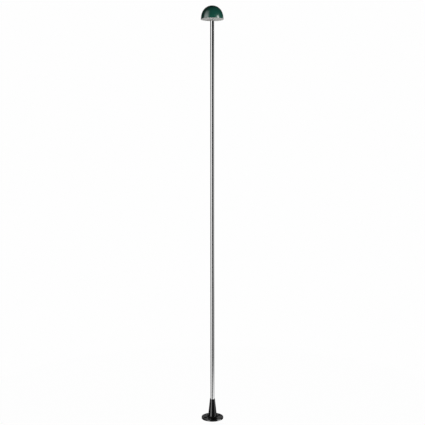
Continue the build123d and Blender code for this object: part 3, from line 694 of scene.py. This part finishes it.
def phosphor_gel(tree, place, colours):
    """Silicone gel filled with yellow phosphor: a soft egg-yolk patch with a cloudy grain."""
    cloud = add(tree, "TexNoise", {"Vector": place, "Scale": per(0.4), "Detail": 3.0})
    surface(tree, {
        "IOR": 1.41, "Subsurface Weight": 0.3, "Subsurface Radius": (1.0, 0.8, 0.3),
        "Subsurface Scale": 0.4 * MM,
    }, tone=(cloud, colours.phosphor, linear("#E6B52E")), gloss=(cloud, 0.12, 0.3))


def moulded_driver_case(tree, place, colours):
    """Moulded polycarbonate case: warm white with a fine spark-eroded face."""
    spark = add(tree, "TexNoise", {"Vector": place, "Scale": per(0.4), "Detail": 3.0})
    flow = add(tree, "TexNoise", {"Vector": place, "Scale": per(16), "Detail": 2.0})
    surface(
        tree, {"IOR": 1.58}, tone=(flow, colours.case, linear("#CFCDC4")),
        gloss=(spark, 0.4, 0.56), spread=NOISE_SPREAD, relief=(spark, 0.3, 0.03),
    )


def soft_pvc_sheath(tree, place, colours):
    """Extruded soft PVC: a black skin with long drawn streaks."""
    along = add(tree, "Mapping", {"Vector": place, "Scale": (1.0, 1.0, 0.02)})
    streak = add(tree, "TexNoise", {"Vector": along, "Scale": per(0.7), "Detail": 3.0})
    surface(
        tree, {"Base Color": colours.sheath, "IOR": 1.53},
        gloss=(streak, 0.32, 0.52), relief=(streak, 0.2, 0.02),
    )


def core_insulation(tree, place, colours, middle):
    """Extruded PVC round each core: smooth, one red and one black, parted midway across the pair."""
    across = add(tree, "SeparateXYZ", {"Vector": place}).outputs["X"]
    side = add(tree, "Math", {0: across, 1: middle}, operation="GREATER_THAN")
    skin = add(tree, "TexNoise", {"Vector": place, "Scale": per(1.5), "Detail": 3.0})
    surface(
        tree, {"IOR": 1.53}, tone=(side, colours.core_return, colours.core_live),
        gloss=(skin, 0.22, 0.4), relief=(skin, 0.1, 0.02),
    )


def natural_polyamide(tree, place, colours):
    """Natural moulded polyamide: milky and slightly see-through, with flow clouds."""
    flow = add(tree, "TexNoise", {"Vector": place, "Scale": per(4), "Detail": 3.0})
    surface(tree, {
        "IOR": 1.53, "Subsurface Weight": 0.3, "Subsurface Radius": (1.0, 0.9, 0.7),
        "Subsurface Scale": 1.0 * MM,
    }, tone=(flow, colours.polyamide, linear("#D3CCB2")), gloss=(flow, 0.3, 0.5))


def crown_centre(sizes):
    """Height of the middle of the crown's arc."""
    return LAMP_TOP - sizes.crown_radius


class LAMP_OT_shade(bpy.types.Operator):
    """The spun dome: green outside, white inside"""
    bl_idname = "lamp.shade"
    bl_label = "Shade"

    def execute(self, context):
        sizes = context.scene.lamp_sizes
        rise = crown_centre(sizes) - RIM_LEVEL
        flank_radius = (sizes.crown_radius ** 2 - RIM_RADIUS ** 2 - rise ** 2) / (
            2 * (sizes.crown_radius - RIM_RADIUS)
        )
        flank = (RIM_RADIUS - flank_radius, RIM_LEVEL)
        crown = (0, crown_centre(sizes))
        meeting = atan2(rise, -flank[0])
        inside = sizes.shade_wall
        edge = sizes.rim_round
        section = arc(crown, sizes.crown_radius, pi / 2, meeting, steps=36)
        section += arc(flank, flank_radius, meeting, edge / flank_radius, steps=24)[1:]
        section += arc((RIM_RADIUS - edge, RIM_LEVEL + edge), edge, 0, -pi / 2, steps=5)
        section += arc((RIM_RADIUS - inside + edge, RIM_LEVEL + edge), edge, -pi / 2, -pi, steps=5)
        section += arc(flank, flank_radius - inside, edge / flank_radius, meeting, steps=24)
        section += arc(crown, sizes.crown_radius - inside, meeting, pi / 2, steps=36)[1:]
        piece = lathe("spun_shade", section, steps=160)
        dress(piece, SHADE, ["shade"], [green_stove_enamel, white_stove_enamel])
        middle = Vector((0, 0, RIM_LEVEL + edge))
        for face in piece.data.polygons:
            face.material_index = int(face.normal.dot(face.center - middle) < 0)
        return {"FINISHED"}


class LAMP_OT_stud(bpy.types.Operator):
    """The boss brazed inside the crown, with its threaded stud"""
    bl_idname = "lamp.stud"
    bl_label = "Shade stud"

    def execute(self, context):
        sizes = context.scene.lamp_sizes
        radius = HIGH["shade_boss"].x
        tip = LOW["shade_boss"].z
        inner = sizes.crown_radius - sizes.shade_wall
        centre = (0, crown_centre(sizes))
        chamfer = 0.6 * MM
        section = arc(centre, inner, pi / 2, acos(radius / inner), steps=10)
        section += arc((radius - chamfer, SADDLE_TOP + chamfer), chamfer, 0, -pi / 2, steps=4)
        section += thread(sizes.stud, sizes.stud_pitch, SADDLE_TOP, tip + chamfer)
        section += [(sizes.stud - 1.4 * chamfer, tip), (0, tip)]
        piece = lathe("shade_stud", section, steps=64)
        dress(piece, SHADE, ["shade_boss"], [bright_zinc_plate])
        return {"FINISHED"}


class LAMP_OT_disc(bpy.types.Operator):
    """The flat opal disc with its lip, collar and screw bosses"""
    bl_idname = "lamp.disc"
    bl_label = "Opal disc"

    def execute(self, context):
        sizes = context.scene.lamp_sizes
        under = LOW["diffuser"].z
        lip_radius = HIGH["diffuser"].x
        hole = POLE_RADIUS + sizes.disc_gap
        collar = hole + sizes.disc_collar
        edge = sizes.disc_edge
        disc_top = under + sizes.disc
        lip_top = under + sizes.disc_lip
        collar_top = disc_top + sizes.disc_collar_height
        disc = lathe("opal_disc", outline(
            (hole, under, edge), (lip_radius, under, edge), (lip_radius, lip_top, edge),
            (sizes.disc_spigot, lip_top), (sizes.disc_spigot, disc_top, edge), (collar, disc_top),
            (collar, collar_top, edge), (hole, collar_top, edge),
        ), steps=160)
        boss_circle = HIGH["diffuser_screws"].y - sizes.head
        boss = lathe("boss", outline(
            (sizes.shank, disc_top), (sizes.disc_boss, disc_top),
            (sizes.disc_boss, TRAY_UNDER, edge), (sizes.shank, TRAY_UNDER),
        ), steps=32)
        bosses = repeat(boss, around(boss_circle, 3, pi / 2, 0))
        dress(join([disc, bosses]), STAND, ["diffuser"], [satin_opal_acrylic])
        return {"FINISHED"}


class LAMP_OT_pole(bpy.types.Operator):
    """The straight chromed tube"""
    bl_idname = "lamp.pole"
    bl_label = "Pole"

    def execute(self, context):
        sizes = context.scene.lamp_sizes
        edge = sizes.pole_edge
        bore = POLE_RADIUS - sizes.pole_wall
        low, high = LOW["pole"].z, HIGH["pole"].z
        piece = lathe("chromed_pole", outline(
            (bore, low, edge), (POLE_RADIUS, low, edge), (POLE_RADIUS, high, edge), (bore, high, edge)
        ))
        dress(piece, STAND, ["pole"], [polished_chrome_plate])
        return {"FINISHED"}


def set_screw_levels(sizes):
    """Heights of the two set screws."""
    return (LOW["pole_grub_screws"].z + sizes.set_screw, HIGH["pole_grub_screws"].z - sizes.set_screw)


class LAMP_OT_foot(bpy.types.Operator):
    """The cast foot with its sunk screw holes and its two tapped holes at the back"""
    bl_idname = "lamp.foot"
    bl_label = "Foot"

    def execute(self, context):
        sizes = context.scene.lamp_sizes
        top = sizes.flange_top
        pad_gap, cover_gap = 0.3 * MM, 0.15 * MM
        under_edge, mouth_edge, socket_edge = 0.3 * MM, 0.7 * MM, 0.5 * MM
        seat_flange = 1.5 * MM
        recess = HIGH["floor_pad"].x + pad_gap
        cover = HIGH["base_cover"].x + cover_gap
        cover_top = PAD_TOP + sizes.cover_plate
        socket = POLE_RADIUS + sizes.thread_gap
        seat_level = LOW["pole"].z
        cavity_top = LOW["seat_grommet"].z + seat_flange
        foot = lathe("cast_foot", outline(
            (cover, cover_top), (cover, PAD_TOP), (recess, PAD_TOP), (recess, FOOT_UNDER),
            (FOOT_RADIUS, FOOT_UNDER, under_edge), (FOOT_RADIUS, top, sizes.flange_round),
            (sizes.cone_base, top, sizes.cone_root), (sizes.cone_mouth, CONE_TOP, mouth_edge),
            (socket, CONE_TOP, socket_edge), (socket, seat_level), (sizes.seat_hole, seat_level),
            (sizes.seat_hole, cavity_top), (sizes.cavity, cavity_top), (sizes.cavity, cover_top), steps=8,
        ), steps=160)
        hole, sink = sizes.screw_hole, sizes.screw_sink
        worn = 0.35 * MM
        sinker = lathe("sinker", [
            (0, top + MM), (sink + worn, top + MM), (sink + worn, top),
            (sink + 0.3 * worn, top - 0.3 * worn), (sink - 0.5 * worn, top - worn),
            (hole, top + hole - sink), (hole, 0), (0, 0),
        ], steps=48)
        cut(foot, repeat(sinker, around(sizes.screw_circle, 4, sizes.screw_turn, 0)))
        tap = sizes.set_screw + sizes.thread_gap
        holes = [
            rod("tap", tap, (0, POLE_RADIUS, level), (0, FOOT_RADIUS, level), sides=32)
            for level in set_screw_levels(sizes)
        ]
        cut(foot, join(holes))
        dress(foot, STAND, ["foot_casting"], [black_enamelled_iron])
        return {"FINISHED"}


class LAMP_OT_set_screws(bpy.types.Operator):
    """The two socket set screws that pinch the pole"""
    bl_idname = "lamp.set_screws"
    bl_label = "Set screws"

    def execute(self, context):
        sizes = context.scene.lamp_sizes
        radius, pitch = sizes.set_screw, sizes.set_screw_pitch
        sunk, tip_chamfer, end_chamfer = 0.8 * MM, 0.8 * MM, 0.5 * MM
        lead_in, lead_out = 0.3 * MM, 0.4 * MM
        socket, socket_depth = 1.45 * MM, 1.8 * MM
        turned = Matrix.Rotation(-pi / 2, 4, "X")
        pieces = []
        for level in set_screw_levels(sizes):
            share = (level - sizes.flange_top) / (CONE_TOP - sizes.flange_top)
            outside = sizes.cone_base + (sizes.cone_mouth - sizes.cone_base) * share
            long = outside - sunk - POLE_RADIUS
            section = [(0, 0), (radius - tip_chamfer, 0)]
            section += thread(radius, pitch, lead_in, long - lead_out)
            section += [(radius - end_chamfer, long), (0, long)]
            screw = lathe("set_screw", section, steps=32)
            cut(screw, rod("socket", socket, (0, 0, long - socket_depth), (0, 0, long + MM), sides=6))
            screw.matrix_world = Matrix.Translation((0, POLE_RADIUS, level)) @ turned
            pieces.append(seat(screw))
        dress(join(pieces), STAND, ["pole_grub_screws"], [black_oxide_steel])
        return {"FINISHED"}


class LAMP_OT_underside(bpy.types.Operator):
    """The rubber pad, the cover and the cable bush under the foot"""
    bl_idname = "lamp.underside"
    bl_label = "Underside"

    def execute(self, context):
        sizes = context.scene.lamp_sizes
        hole_edge, edge = 0.3 * MM, 0.4 * MM
        radius = HIGH["floor_pad"].x
        pad = lathe("rubber_pad", outline(
            (sizes.pad_hole, 0, hole_edge), (radius, 0, edge), (radius, PAD_TOP), (sizes.pad_hole, PAD_TOP)
        ), steps=128)
        punch = rod("punch", sizes.pad_screw_hole, (0, 0, -MM), (0, 0, PAD_TOP + MM))
        cut(pad, repeat(punch, around(sizes.screw_circle, 4, sizes.screw_turn, 0)))
        dress(pad, STAND, ["floor_pad"], [moulded_black_rubber])
        outer = HIGH["base_cover"].x
        top = PAD_TOP + sizes.cover_plate
        wall_top = HIGH["base_cover"].z
        spigot_gap, spigot_wall, wall_edge = 0.3 * MM, 1.5 * MM, 0.3 * MM
        spigot = sizes.cavity - spigot_gap
        neck = sizes.bush_neck
        groove, groove_end, slant = 12.6 * MM, 13.6 * MM, 0.2 * MM
        groove_top = PAD_TOP + 0.3 * MM
        cover = lathe("inlet_cover", outline(
            (neck, PAD_TOP), (groove, PAD_TOP), (groove + slant, groove_top),
            (groove_end - slant, groove_top), (groove_end, PAD_TOP), (outer, PAD_TOP, edge),
            (outer, top), (spigot, top), (spigot, wall_top, wall_edge),
            (spigot - spigot_wall, wall_top, wall_edge), (spigot - spigot_wall, top), (neck, top),
        ))
        half, deep = 2 * MM, 0.9 * MM
        notch_low, notch_top = PAD_TOP - MM, PAD_TOP + 0.8 * MM
        for edge_middle in (-outer, outer):
            near, far = edge_middle - deep, edge_middle + deep
            cut(cover, block("notch", (-half, near, notch_low), (half, far, notch_top)))
        dress(cover, STAND, ["base_cover"], [moulded_black_plastic])
        bore, bore_edge, top_edge = sizes.cable_bore, 0.35 * MM, 0.5 * MM
        flange = HIGH["cable_grommet"].x
        low, high = LOW["cable_grommet"].z, HIGH["cable_grommet"].z
        bush = lathe("cable_bush", outline(
            (bore, low, bore_edge), (flange, low, edge), (flange, PAD_TOP), (neck, PAD_TOP),
            (neck, top), (flange, top), (flange, high, top_edge), (bore, high, bore_edge),
        ), steps=64)
        dress(bush, STAND, ["cable_grommet"], [moulded_black_rubber])
        paint(moulded_black_rubber, "seat_grommet")
        return {"FINISHED"}


class LAMP_OT_tray(bpy.types.Operator):
    """The spun tray that takes the heat and carries the head"""
    bl_idname = "lamp.tray"
    bl_label = "Tray"

    def execute(self, context):
        sizes = context.scene.lamp_sizes
        radius = HIGH["heat_sink_tray"].x
        rim = HIGH["heat_sink_tray"].z
        hole = sizes.tray_hole
        wall = radius - sizes.tray_wall
        bend, rim_edge, inner_bend = MM, 0.5 * MM, 0.8 * MM
        tray = lathe("spun_tray", outline(
            (hole, TRAY_UNDER), (radius, TRAY_UNDER, bend), (radius, rim, rim_edge), (wall, rim, rim_edge),
            (wall, TRAY_TOP, inner_bend), (hole, TRAY_TOP),
        ), steps=128)
        middle = (LOW["driver_output_cores"].x + HIGH["driver_output_cores"].x) / 2
        front = LOW["driver_output_cores"].y + sizes.core
        half, deep, past, corner = 3.5 * MM, 2 * MM, 4 * MM, 1.9 * MM
        slot = block(
            "slot", (middle - half, front - deep, TRAY_UNDER - past),
            (middle + half, front + deep, TRAY_TOP + past),
        )
        cut(tray, soften(slot, corner, segments=6))
        dress(tray, STAND, ["heat_sink_tray"], [spun_aluminium])
        return {"FINISHED"}


class LAMP_OT_light_ring(bpy.types.Operator):
    """The ring board and its LED chips"""
    bl_idname = "lamp.light_ring"
    bl_label = "Light ring"

    def execute(self, context):
        sizes = context.scene.lamp_sizes
        paint(white_solder_mask, "led_board")
        under, level = LOW["led_chips"].z, HIGH["led_chips"].z
        half, half_long = sizes.chip / 2, 1.25 * sizes.chip / 2
        edge, frame_width, well = 0.12 * MM, 0.4 * MM, 0.12 * MM
        chip = block("led_chips_lit", (-half, -half_long, under - level), (half, half_long, 0))
        soften(chip, edge, segments=2)
        faces_down = -0.99
        select_faces(chip, lambda face: face.normal.z < faces_down)
        bpy.ops.mesh.inset(thickness=frame_width)
        bpy.ops.mesh.extrude_region_move(TRANSFORM_OT_translate={"value": (0, 0, well)})
        bpy.ops.object.mode_set(mode="OBJECT")
        spots = [spot for radius, count in CHIP_RINGS for spot in around(radius * MM, count, 0, level)]
        chips = repeat(chip, spots)
        dress(chips, STAND, ["led_chips"], [white_chip_body, phosphor_gel])
        for face in chips.data.polygons:
            in_well = abs(face.center.z - under - well) < well / 2
            face.material_index = int(in_well and face.normal.z < faces_down)
        return {"FINISHED"}


class LAMP_OT_driver(bpy.types.Operator):
    """The LED driver: a case and lid with a shadow gap, two ears and its wire entries"""
    bl_idname = "lamp.driver"
    bl_label = "Driver"

    def execute(self, context):
        sizes = context.scene.lamp_sizes
        low, high = LOW["led_driver"], HIGH["led_driver"]
        half = sizes.driver_length / 2
        split = high.z - sizes.driver_lid
        gap, inset = 0.5 * MM, MM
        case_edge, lid_edge, ear_edge, entry_edge = 0.5 * MM, 0.9 * MM, 0.6 * MM, 0.2 * MM
        case = block("driver_case", (-half, low.y, low.z), (half, high.y, split))
        lid = block("driver_lid", (-half, low.y, split + gap), (half, high.y, high.z))
        core = block(
            "driver_core", (-half + inset, low.y + inset, split - inset),
            (half - inset, high.y - inset, split + 2 * gap),
        )
        pieces = [soften(case, case_edge), soften(lid, lid_edge), core]
        middle = (low.y + high.y) / 2
        ear_half = 4 * MM
        ear_top = low.z + sizes.driver_ear
        for side in (-1, 1):
            start, end = sorted((side * (half - inset), side * high.x))
            ear = block("ear", (start, middle - ear_half, low.z), (end, middle + ear_half, ear_top))
            pieces.append(soften(ear, ear_edge))
        entry_radius, entry_reach = 1.1 * MM, 0.9 * MM
        for node in ("driver_input_cores", "driver_output_cores"):
            level = HIGH[node].z - sizes.core
            for across in (LOW[node].x + sizes.core, HIGH[node].x - sizes.core):
                outside, inside = (across, low.y - entry_reach, level), (across, low.y + inset, level)
                entry = rod("entry", entry_radius, outside, inside, sides=24)
                pieces.append(soften(entry, entry_edge, segments=2))
        dress(join(pieces), STAND, ["led_driver"], [moulded_driver_case])
        return {"FINISHED"}


class LAMP_OT_saddle(bpy.types.Operator):
    """The bent strip that carries the shade"""
    bl_idname = "lamp.saddle"
    bl_label = "Saddle"

    def execute(self, context):
        sizes = context.scene.lamp_sizes
        reach = HIGH["shade_saddle"].x
        half_width = HIGH["shade_saddle"].y
        leg = sizes.saddle_span / 2
        bend = sizes.saddle_bend
        edge = 0.25 * MM
        low = TRAY_TOP + sizes.strip / 2
        high = SADDLE_TOP - sizes.strip / 2
        right = arc((leg - bend, high - bend), bend, pi / 2, 0, steps=7)
        right += arc((leg + bend, low + bend), bend, pi, 1.5 * pi, steps=7) + [(reach, low)]
        left = [(-across, up) for across, up in reversed(right)]
        strip = trace("shade_strip", left + right)
        bpy.ops.mesh.extrude_edges_move(TRANSFORM_OT_translate={"value": (0, 2 * half_width, 0)})
        bpy.ops.mesh.select_all(action="SELECT")
        bpy.ops.transform.translate(value=(0, -half_width, 0))
        bpy.ops.mesh.normals_make_consistent(inside=False)
        bpy.ops.object.mode_set(mode="OBJECT")
        modify(strip, "SOLIDIFY", thickness=sizes.strip, offset=0.0, use_even_offset=True)
        cut(strip, rod("stud_hole", sizes.stud + sizes.thread_gap, (0, 0, low), (0, 0, SADDLE_TOP + MM)))
        soften(strip, edge, segments=2, angle=50)
        dress(strip, STAND, ["shade_saddle"], [bright_zinc_plate])
        return {"FINISHED"}


class LAMP_OT_nipple(bpy.types.Operator):
    """The hub, the threaded nipple, its lock washer and its nut"""
    bl_idname = "lamp.nipple"
    bl_label = "Nipple and nut"

    def execute(self, context):
        sizes = context.scene.lamp_sizes
        radius = HIGH["head_nipple"].x
        low, high = LOW["head_nipple"].z, HIGH["head_nipple"].z
        bore, bore_edge, nut_edge = sizes.cable_bore, 0.3 * MM, 0.35 * MM
        corners = thread(radius, sizes.stud_pitch, low, high)
        nipple = lathe("threaded_nipple", outline((bore, low), *corners, (bore, high, bore_edge)), steps=64)
        dress(nipple, STAND, ["head_nipple"], [bright_zinc_plate])
        low, high = LOW["head_nut"].z, HIGH["head_nut"].z
        corner_radius = HIGH["head_nut"].y * 2 / sqrt(3)
        nut = rod("hexagon_nut", corner_radius, (0, 0, low), (0, 0, high), sides=6)
        nut.matrix_world = Matrix.Rotation(pi / 6, 4, "Z")
        cut(soften(seat(nut), nut_edge), rod("bore", radius, (0, 0, low - MM), (0, 0, high + MM)))
        dress(nut, STAND, ["head_nut"], [bright_zinc_plate])
        paint(bright_zinc_plate, "head_lock_washer")
        paint(turned_aluminium, "pole_hub")
        return {"FINISHED"}


def cross_head_screws(name, node, spots):
    """Models one small screw for a node and stands it at its spots."""
    sizes = bpy.context.scene.lamp_sizes
    head, tall = sizes.head, sizes.head_height
    crown = 0.8 * MM
    long = HIGH[node].z - LOW[node].z - tall
    section = [(0, tall)] + arc((head - crown, tall - crown), crown, pi / 2, 0, steps=5) + [(head, 0)]
    section += thread(sizes.shank, sizes.shank_pitch, 0, -long) + [(0, -long)]
    screw = lathe(name, section, steps=32)
    # The cross's two slots in millimetres: half lengths and depth, a little unlike so that both cut cleanly
    for across, along, deep in ((1.4, 0.3, 0.9), (0.3, 1.38, 0.86)):
        corner = Vector((across, along, deep)) * MM
        cut(screw, block("cross", (-corner.x, -corner.y, tall - corner.z), (corner.x, corner.y, tall + MM)))
    dress(repeat(screw, spots), STAND, [node], [bright_zinc_plate])


class LAMP_OT_screws(bpy.types.Operator):
    """The small cross-head screws of the board, the disc, the driver and the saddle"""
    bl_idname = "lamp.screws"
    bl_label = "Cross-head screws"

    def execute(self, context):
        sizes = context.scene.lamp_sizes
        head = sizes.head
        board_circle = -LOW["led_board_screws"].y - head
        board_level = LOW["led_board_screws"].z + sizes.head_height
        turned = Matrix.Rotation(pi, 4, "X")
        board_spots = [spot @ turned for spot in around(board_circle, 3, pi / 6, board_level)]
        cross_head_screws("board_screws", "led_board_screws", board_spots)
        disc_circle = HIGH["diffuser_screws"].y - head
        cross_head_screws("disc_screws", "diffuser_screws", around(disc_circle, 3, pi / 2, TRAY_TOP))
        for name, node in (("ear_screws", "driver_screws"), ("strip_screws", "saddle_screws")):
            across = HIGH[node].x - head
            middle = (LOW[node].y + HIGH[node].y) / 2
            level = HIGH[node].z - sizes.head_height
            spots = [Matrix.Translation((side * across, middle, level)) for side in (-1, 1)]
            cross_head_screws(name, node, spots)
        return {"FINISHED"}


class LAMP_OT_wiring(bpy.types.Operator):
    """The finishes of the lead, its cores and the connector in the foot"""
    bl_idname = "lamp.wiring"
    bl_label = "Wiring"

    def execute(self, context):
        paint(soft_pvc_sheath, "supply_lead")
        paint(natural_polyamide, "terminal_block")
        paint(drawn_brass, "terminal_sleeves")
        paint(bright_zinc_plate, "terminal_screws", "terminal_block_screw")
        for node in ("lead_cores", "driver_input_cores", "driver_output_cores"):
            made, tree, place = finish("core_insulation_" + node)
            core_insulation(tree, place, context.scene.lamp_colours, (LOW[node].x + HIGH[node].x) / 2)
            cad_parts[node].data.materials[0] = made
        return {"FINISHED"}


def studio_floor(stage):
    """The white floor: it glows by itself, so that the picture's ground stays even."""
    deselect()
    bpy.ops.mesh.primitive_circle_add(
        vertices=96, radius=stage.floor_radius, fill_type="NGON", location=(0, 0, -FLOOR_GAP)
    )
    floor = bpy.context.object
    floor.name = "studio_floor"
    made, tree = finish("white_studio_floor")[:2]
    surface(tree, {
        "Base Color": linear("#101010"), "Roughness": 1.0, "Emission Color": linear("#FFFFFF"),
        "Emission Strength": 0.985, "Specular IOR Level": 0.0,
    })
    floor.data.materials.append(made)
    floor.visible_glossy = False
    return floor


def studio_surround(stage):
    """The white round the lamp, which only the camera sees."""
    bpy.ops.mesh.primitive_uv_sphere_add(segments=48, ring_count=24, radius=stage.surround_radius)
    surround = bpy.context.object
    surround.name = "white_surround"
    made, tree = finish("white_surround")[:2]
    glow = add(tree, "Emission", {"Color": linear("#FFFFFF"), "Strength": 0.991})
    add(tree, "OutputMaterial", {"Surface": glow})
    surround.data.materials.append(made)
    surround.visible_diffuse = False
    surround.visible_glossy = False
    surround.visible_transmission = False
    surround.visible_shadow = False
    return surround


def studio_panel(tree, azimuth, elevation, left, right, low, high):
    """A soft-edged patch of the studio between two azimuths and two elevations, as a 0 to 1 mask."""
    mask = 1.0
    for angle, sign, (limit, blur) in (
        (azimuth, 1, left), (azimuth, -1, right), (elevation, 1, low), (elevation, -1, high)
    ):
        start, end = radians(limit - sign * blur), radians(limit + sign * blur)
        ramp = add(
            tree, "MapRange", {"Value": angle, "From Min": start, "From Max": end},
            interpolation_type="SMOOTHSTEP",
        )
        mask = add(tree, "Math", {0: mask, 1: ramp}, operation="MULTIPLY")
    return mask


def studio_sky(scene):
    """The studio's panels as a world that only gloss reflects."""
    world = bpy.data.worlds.new("studio")
    scene.world = world
    world.use_nodes = True
    world.cycles_visibility.diffuse = False
    tree = world.node_tree
    tree.nodes.clear()
    direction = add(tree, "TexCoord").outputs["Generated"]
    axes = add(tree, "SeparateXYZ", {"Vector": direction}).outputs
    front = add(tree, "Math", {0: axes["Y"], 1: -1.0}, operation="MULTIPLY")
    azimuth = add(tree, "Math", {0: axes["X"], 1: front}, operation="ARCTAN2")
    elevation = add(tree, "Math", {0: axes["Z"]}, operation="ARCSINE")
    light = 0.0
    for left, right, low, high, strength in PANELS:
        mask = studio_panel(tree, azimuth, elevation, left, right, low, high)
        light = add(tree, "Math", {0: mask, 1: strength, 2: light}, operation="MULTIPLY_ADD")
    sky = add(tree, "Background", {"Color": linear("#FFFFFF"), "Strength": light})
    add(tree, "OutputWorld", {"Surface": sky})


def studio_lamps():
    """The soft lamps, all aimed at the top of the lamp and left out of its reflections."""
    for name, spot, power in SOFTBOXES:
        bpy.ops.object.light_add(type="AREA", location=spot)
        softbox = bpy.context.object
        softbox.name = name
        aim = Vector((0, 0, LAMP_TOP)) - softbox.location
        softbox.rotation_euler = aim.to_track_quat("-Z", "Y").to_euler()
        softbox.data.shape = "RECTANGLE"
        softbox.data.size, softbox.data.size_y = SOFTBOX_SIZE
        softbox.data.energy = power
        softbox.visible_glossy = False


def studio_camera(scene, stage):
    """The camera in the photographer's place, and plain colours without a film look."""
    bpy.ops.object.camera_add(
        location=(stage.camera_side, -stage.camera_back, stage.camera_height),
        rotation=(pi / 2 - stage.camera_pitch, stage.camera_roll, 0),
    )
    camera = bpy.context.object
    camera.data.angle = stage.camera_angle
    camera.data.clip_end = 100.0
    scene.camera = camera
    scene.view_settings.view_transform = "Standard"
    scene.view_settings.look = "None"


class LAMP_OT_stage(bpy.types.Operator):
    """The pale floor, the soft studio light and the camera"""
    bl_idname = "lamp.stage"
    bl_label = "Stage"

    def execute(self, context):
        stage = context.scene.lamp_stage
        floor = studio_floor(stage)
        surround = studio_surround(stage)
        studio_sky(context.scene)
        studio_lamps()
        studio_camera(context.scene, stage)
        return {"FINISHED"}


class LAMP_PT_sidebar(bpy.types.Panel):
    """Lists the lamp's pieces and its values"""
    bl_label = "Dome head pole lamp"
    bl_idname = "LAMP_PT_sidebar"
    bl_space_type = "VIEW_3D"
    bl_region_type = "UI"
    bl_category = "Lamp"

    def draw(self, context):
        for operator in OPERATORS:
            self.layout.operator(operator.bl_idname)
        for group in (context.scene.lamp_sizes, context.scene.lamp_colours, context.scene.lamp_stage):
            for key in group.__annotations__:
                self.layout.prop(group, key)


GROUPS = (LampSizes, LampColours, StageSettings)
OPERATORS = (
    LAMP_OT_shade, LAMP_OT_stud, LAMP_OT_disc, LAMP_OT_pole, LAMP_OT_foot, LAMP_OT_set_screws,
    LAMP_OT_underside, LAMP_OT_tray, LAMP_OT_light_ring, LAMP_OT_driver, LAMP_OT_saddle, LAMP_OT_nipple,
    LAMP_OT_screws, LAMP_OT_wiring, LAMP_OT_stage,
)


def register():
    for kind in GROUPS + OPERATORS + (LAMP_PT_sidebar,):
        bpy.utils.register_class(kind)
    bpy.types.Scene.lamp_sizes = bpy.props.PointerProperty(type=LampSizes)
    bpy.types.Scene.lamp_colours = bpy.props.PointerProperty(type=LampColours)
    bpy.types.Scene.lamp_stage = bpy.props.PointerProperty(type=StageSettings)


def unregister():
    del bpy.types.Scene.lamp_sizes
    del bpy.types.Scene.lamp_colours
    del bpy.types.Scene.lamp_stage
    for kind in reversed(GROUPS + OPERATORS + (LAMP_PT_sidebar,)):
        bpy.utils.unregister_class(kind)


def main():
    register()
    for operator in OPERATORS:
        group, name = operator.bl_idname.split(".")
        getattr(getattr(bpy.ops, group), name)()


if __name__ == "__main__":
    main()
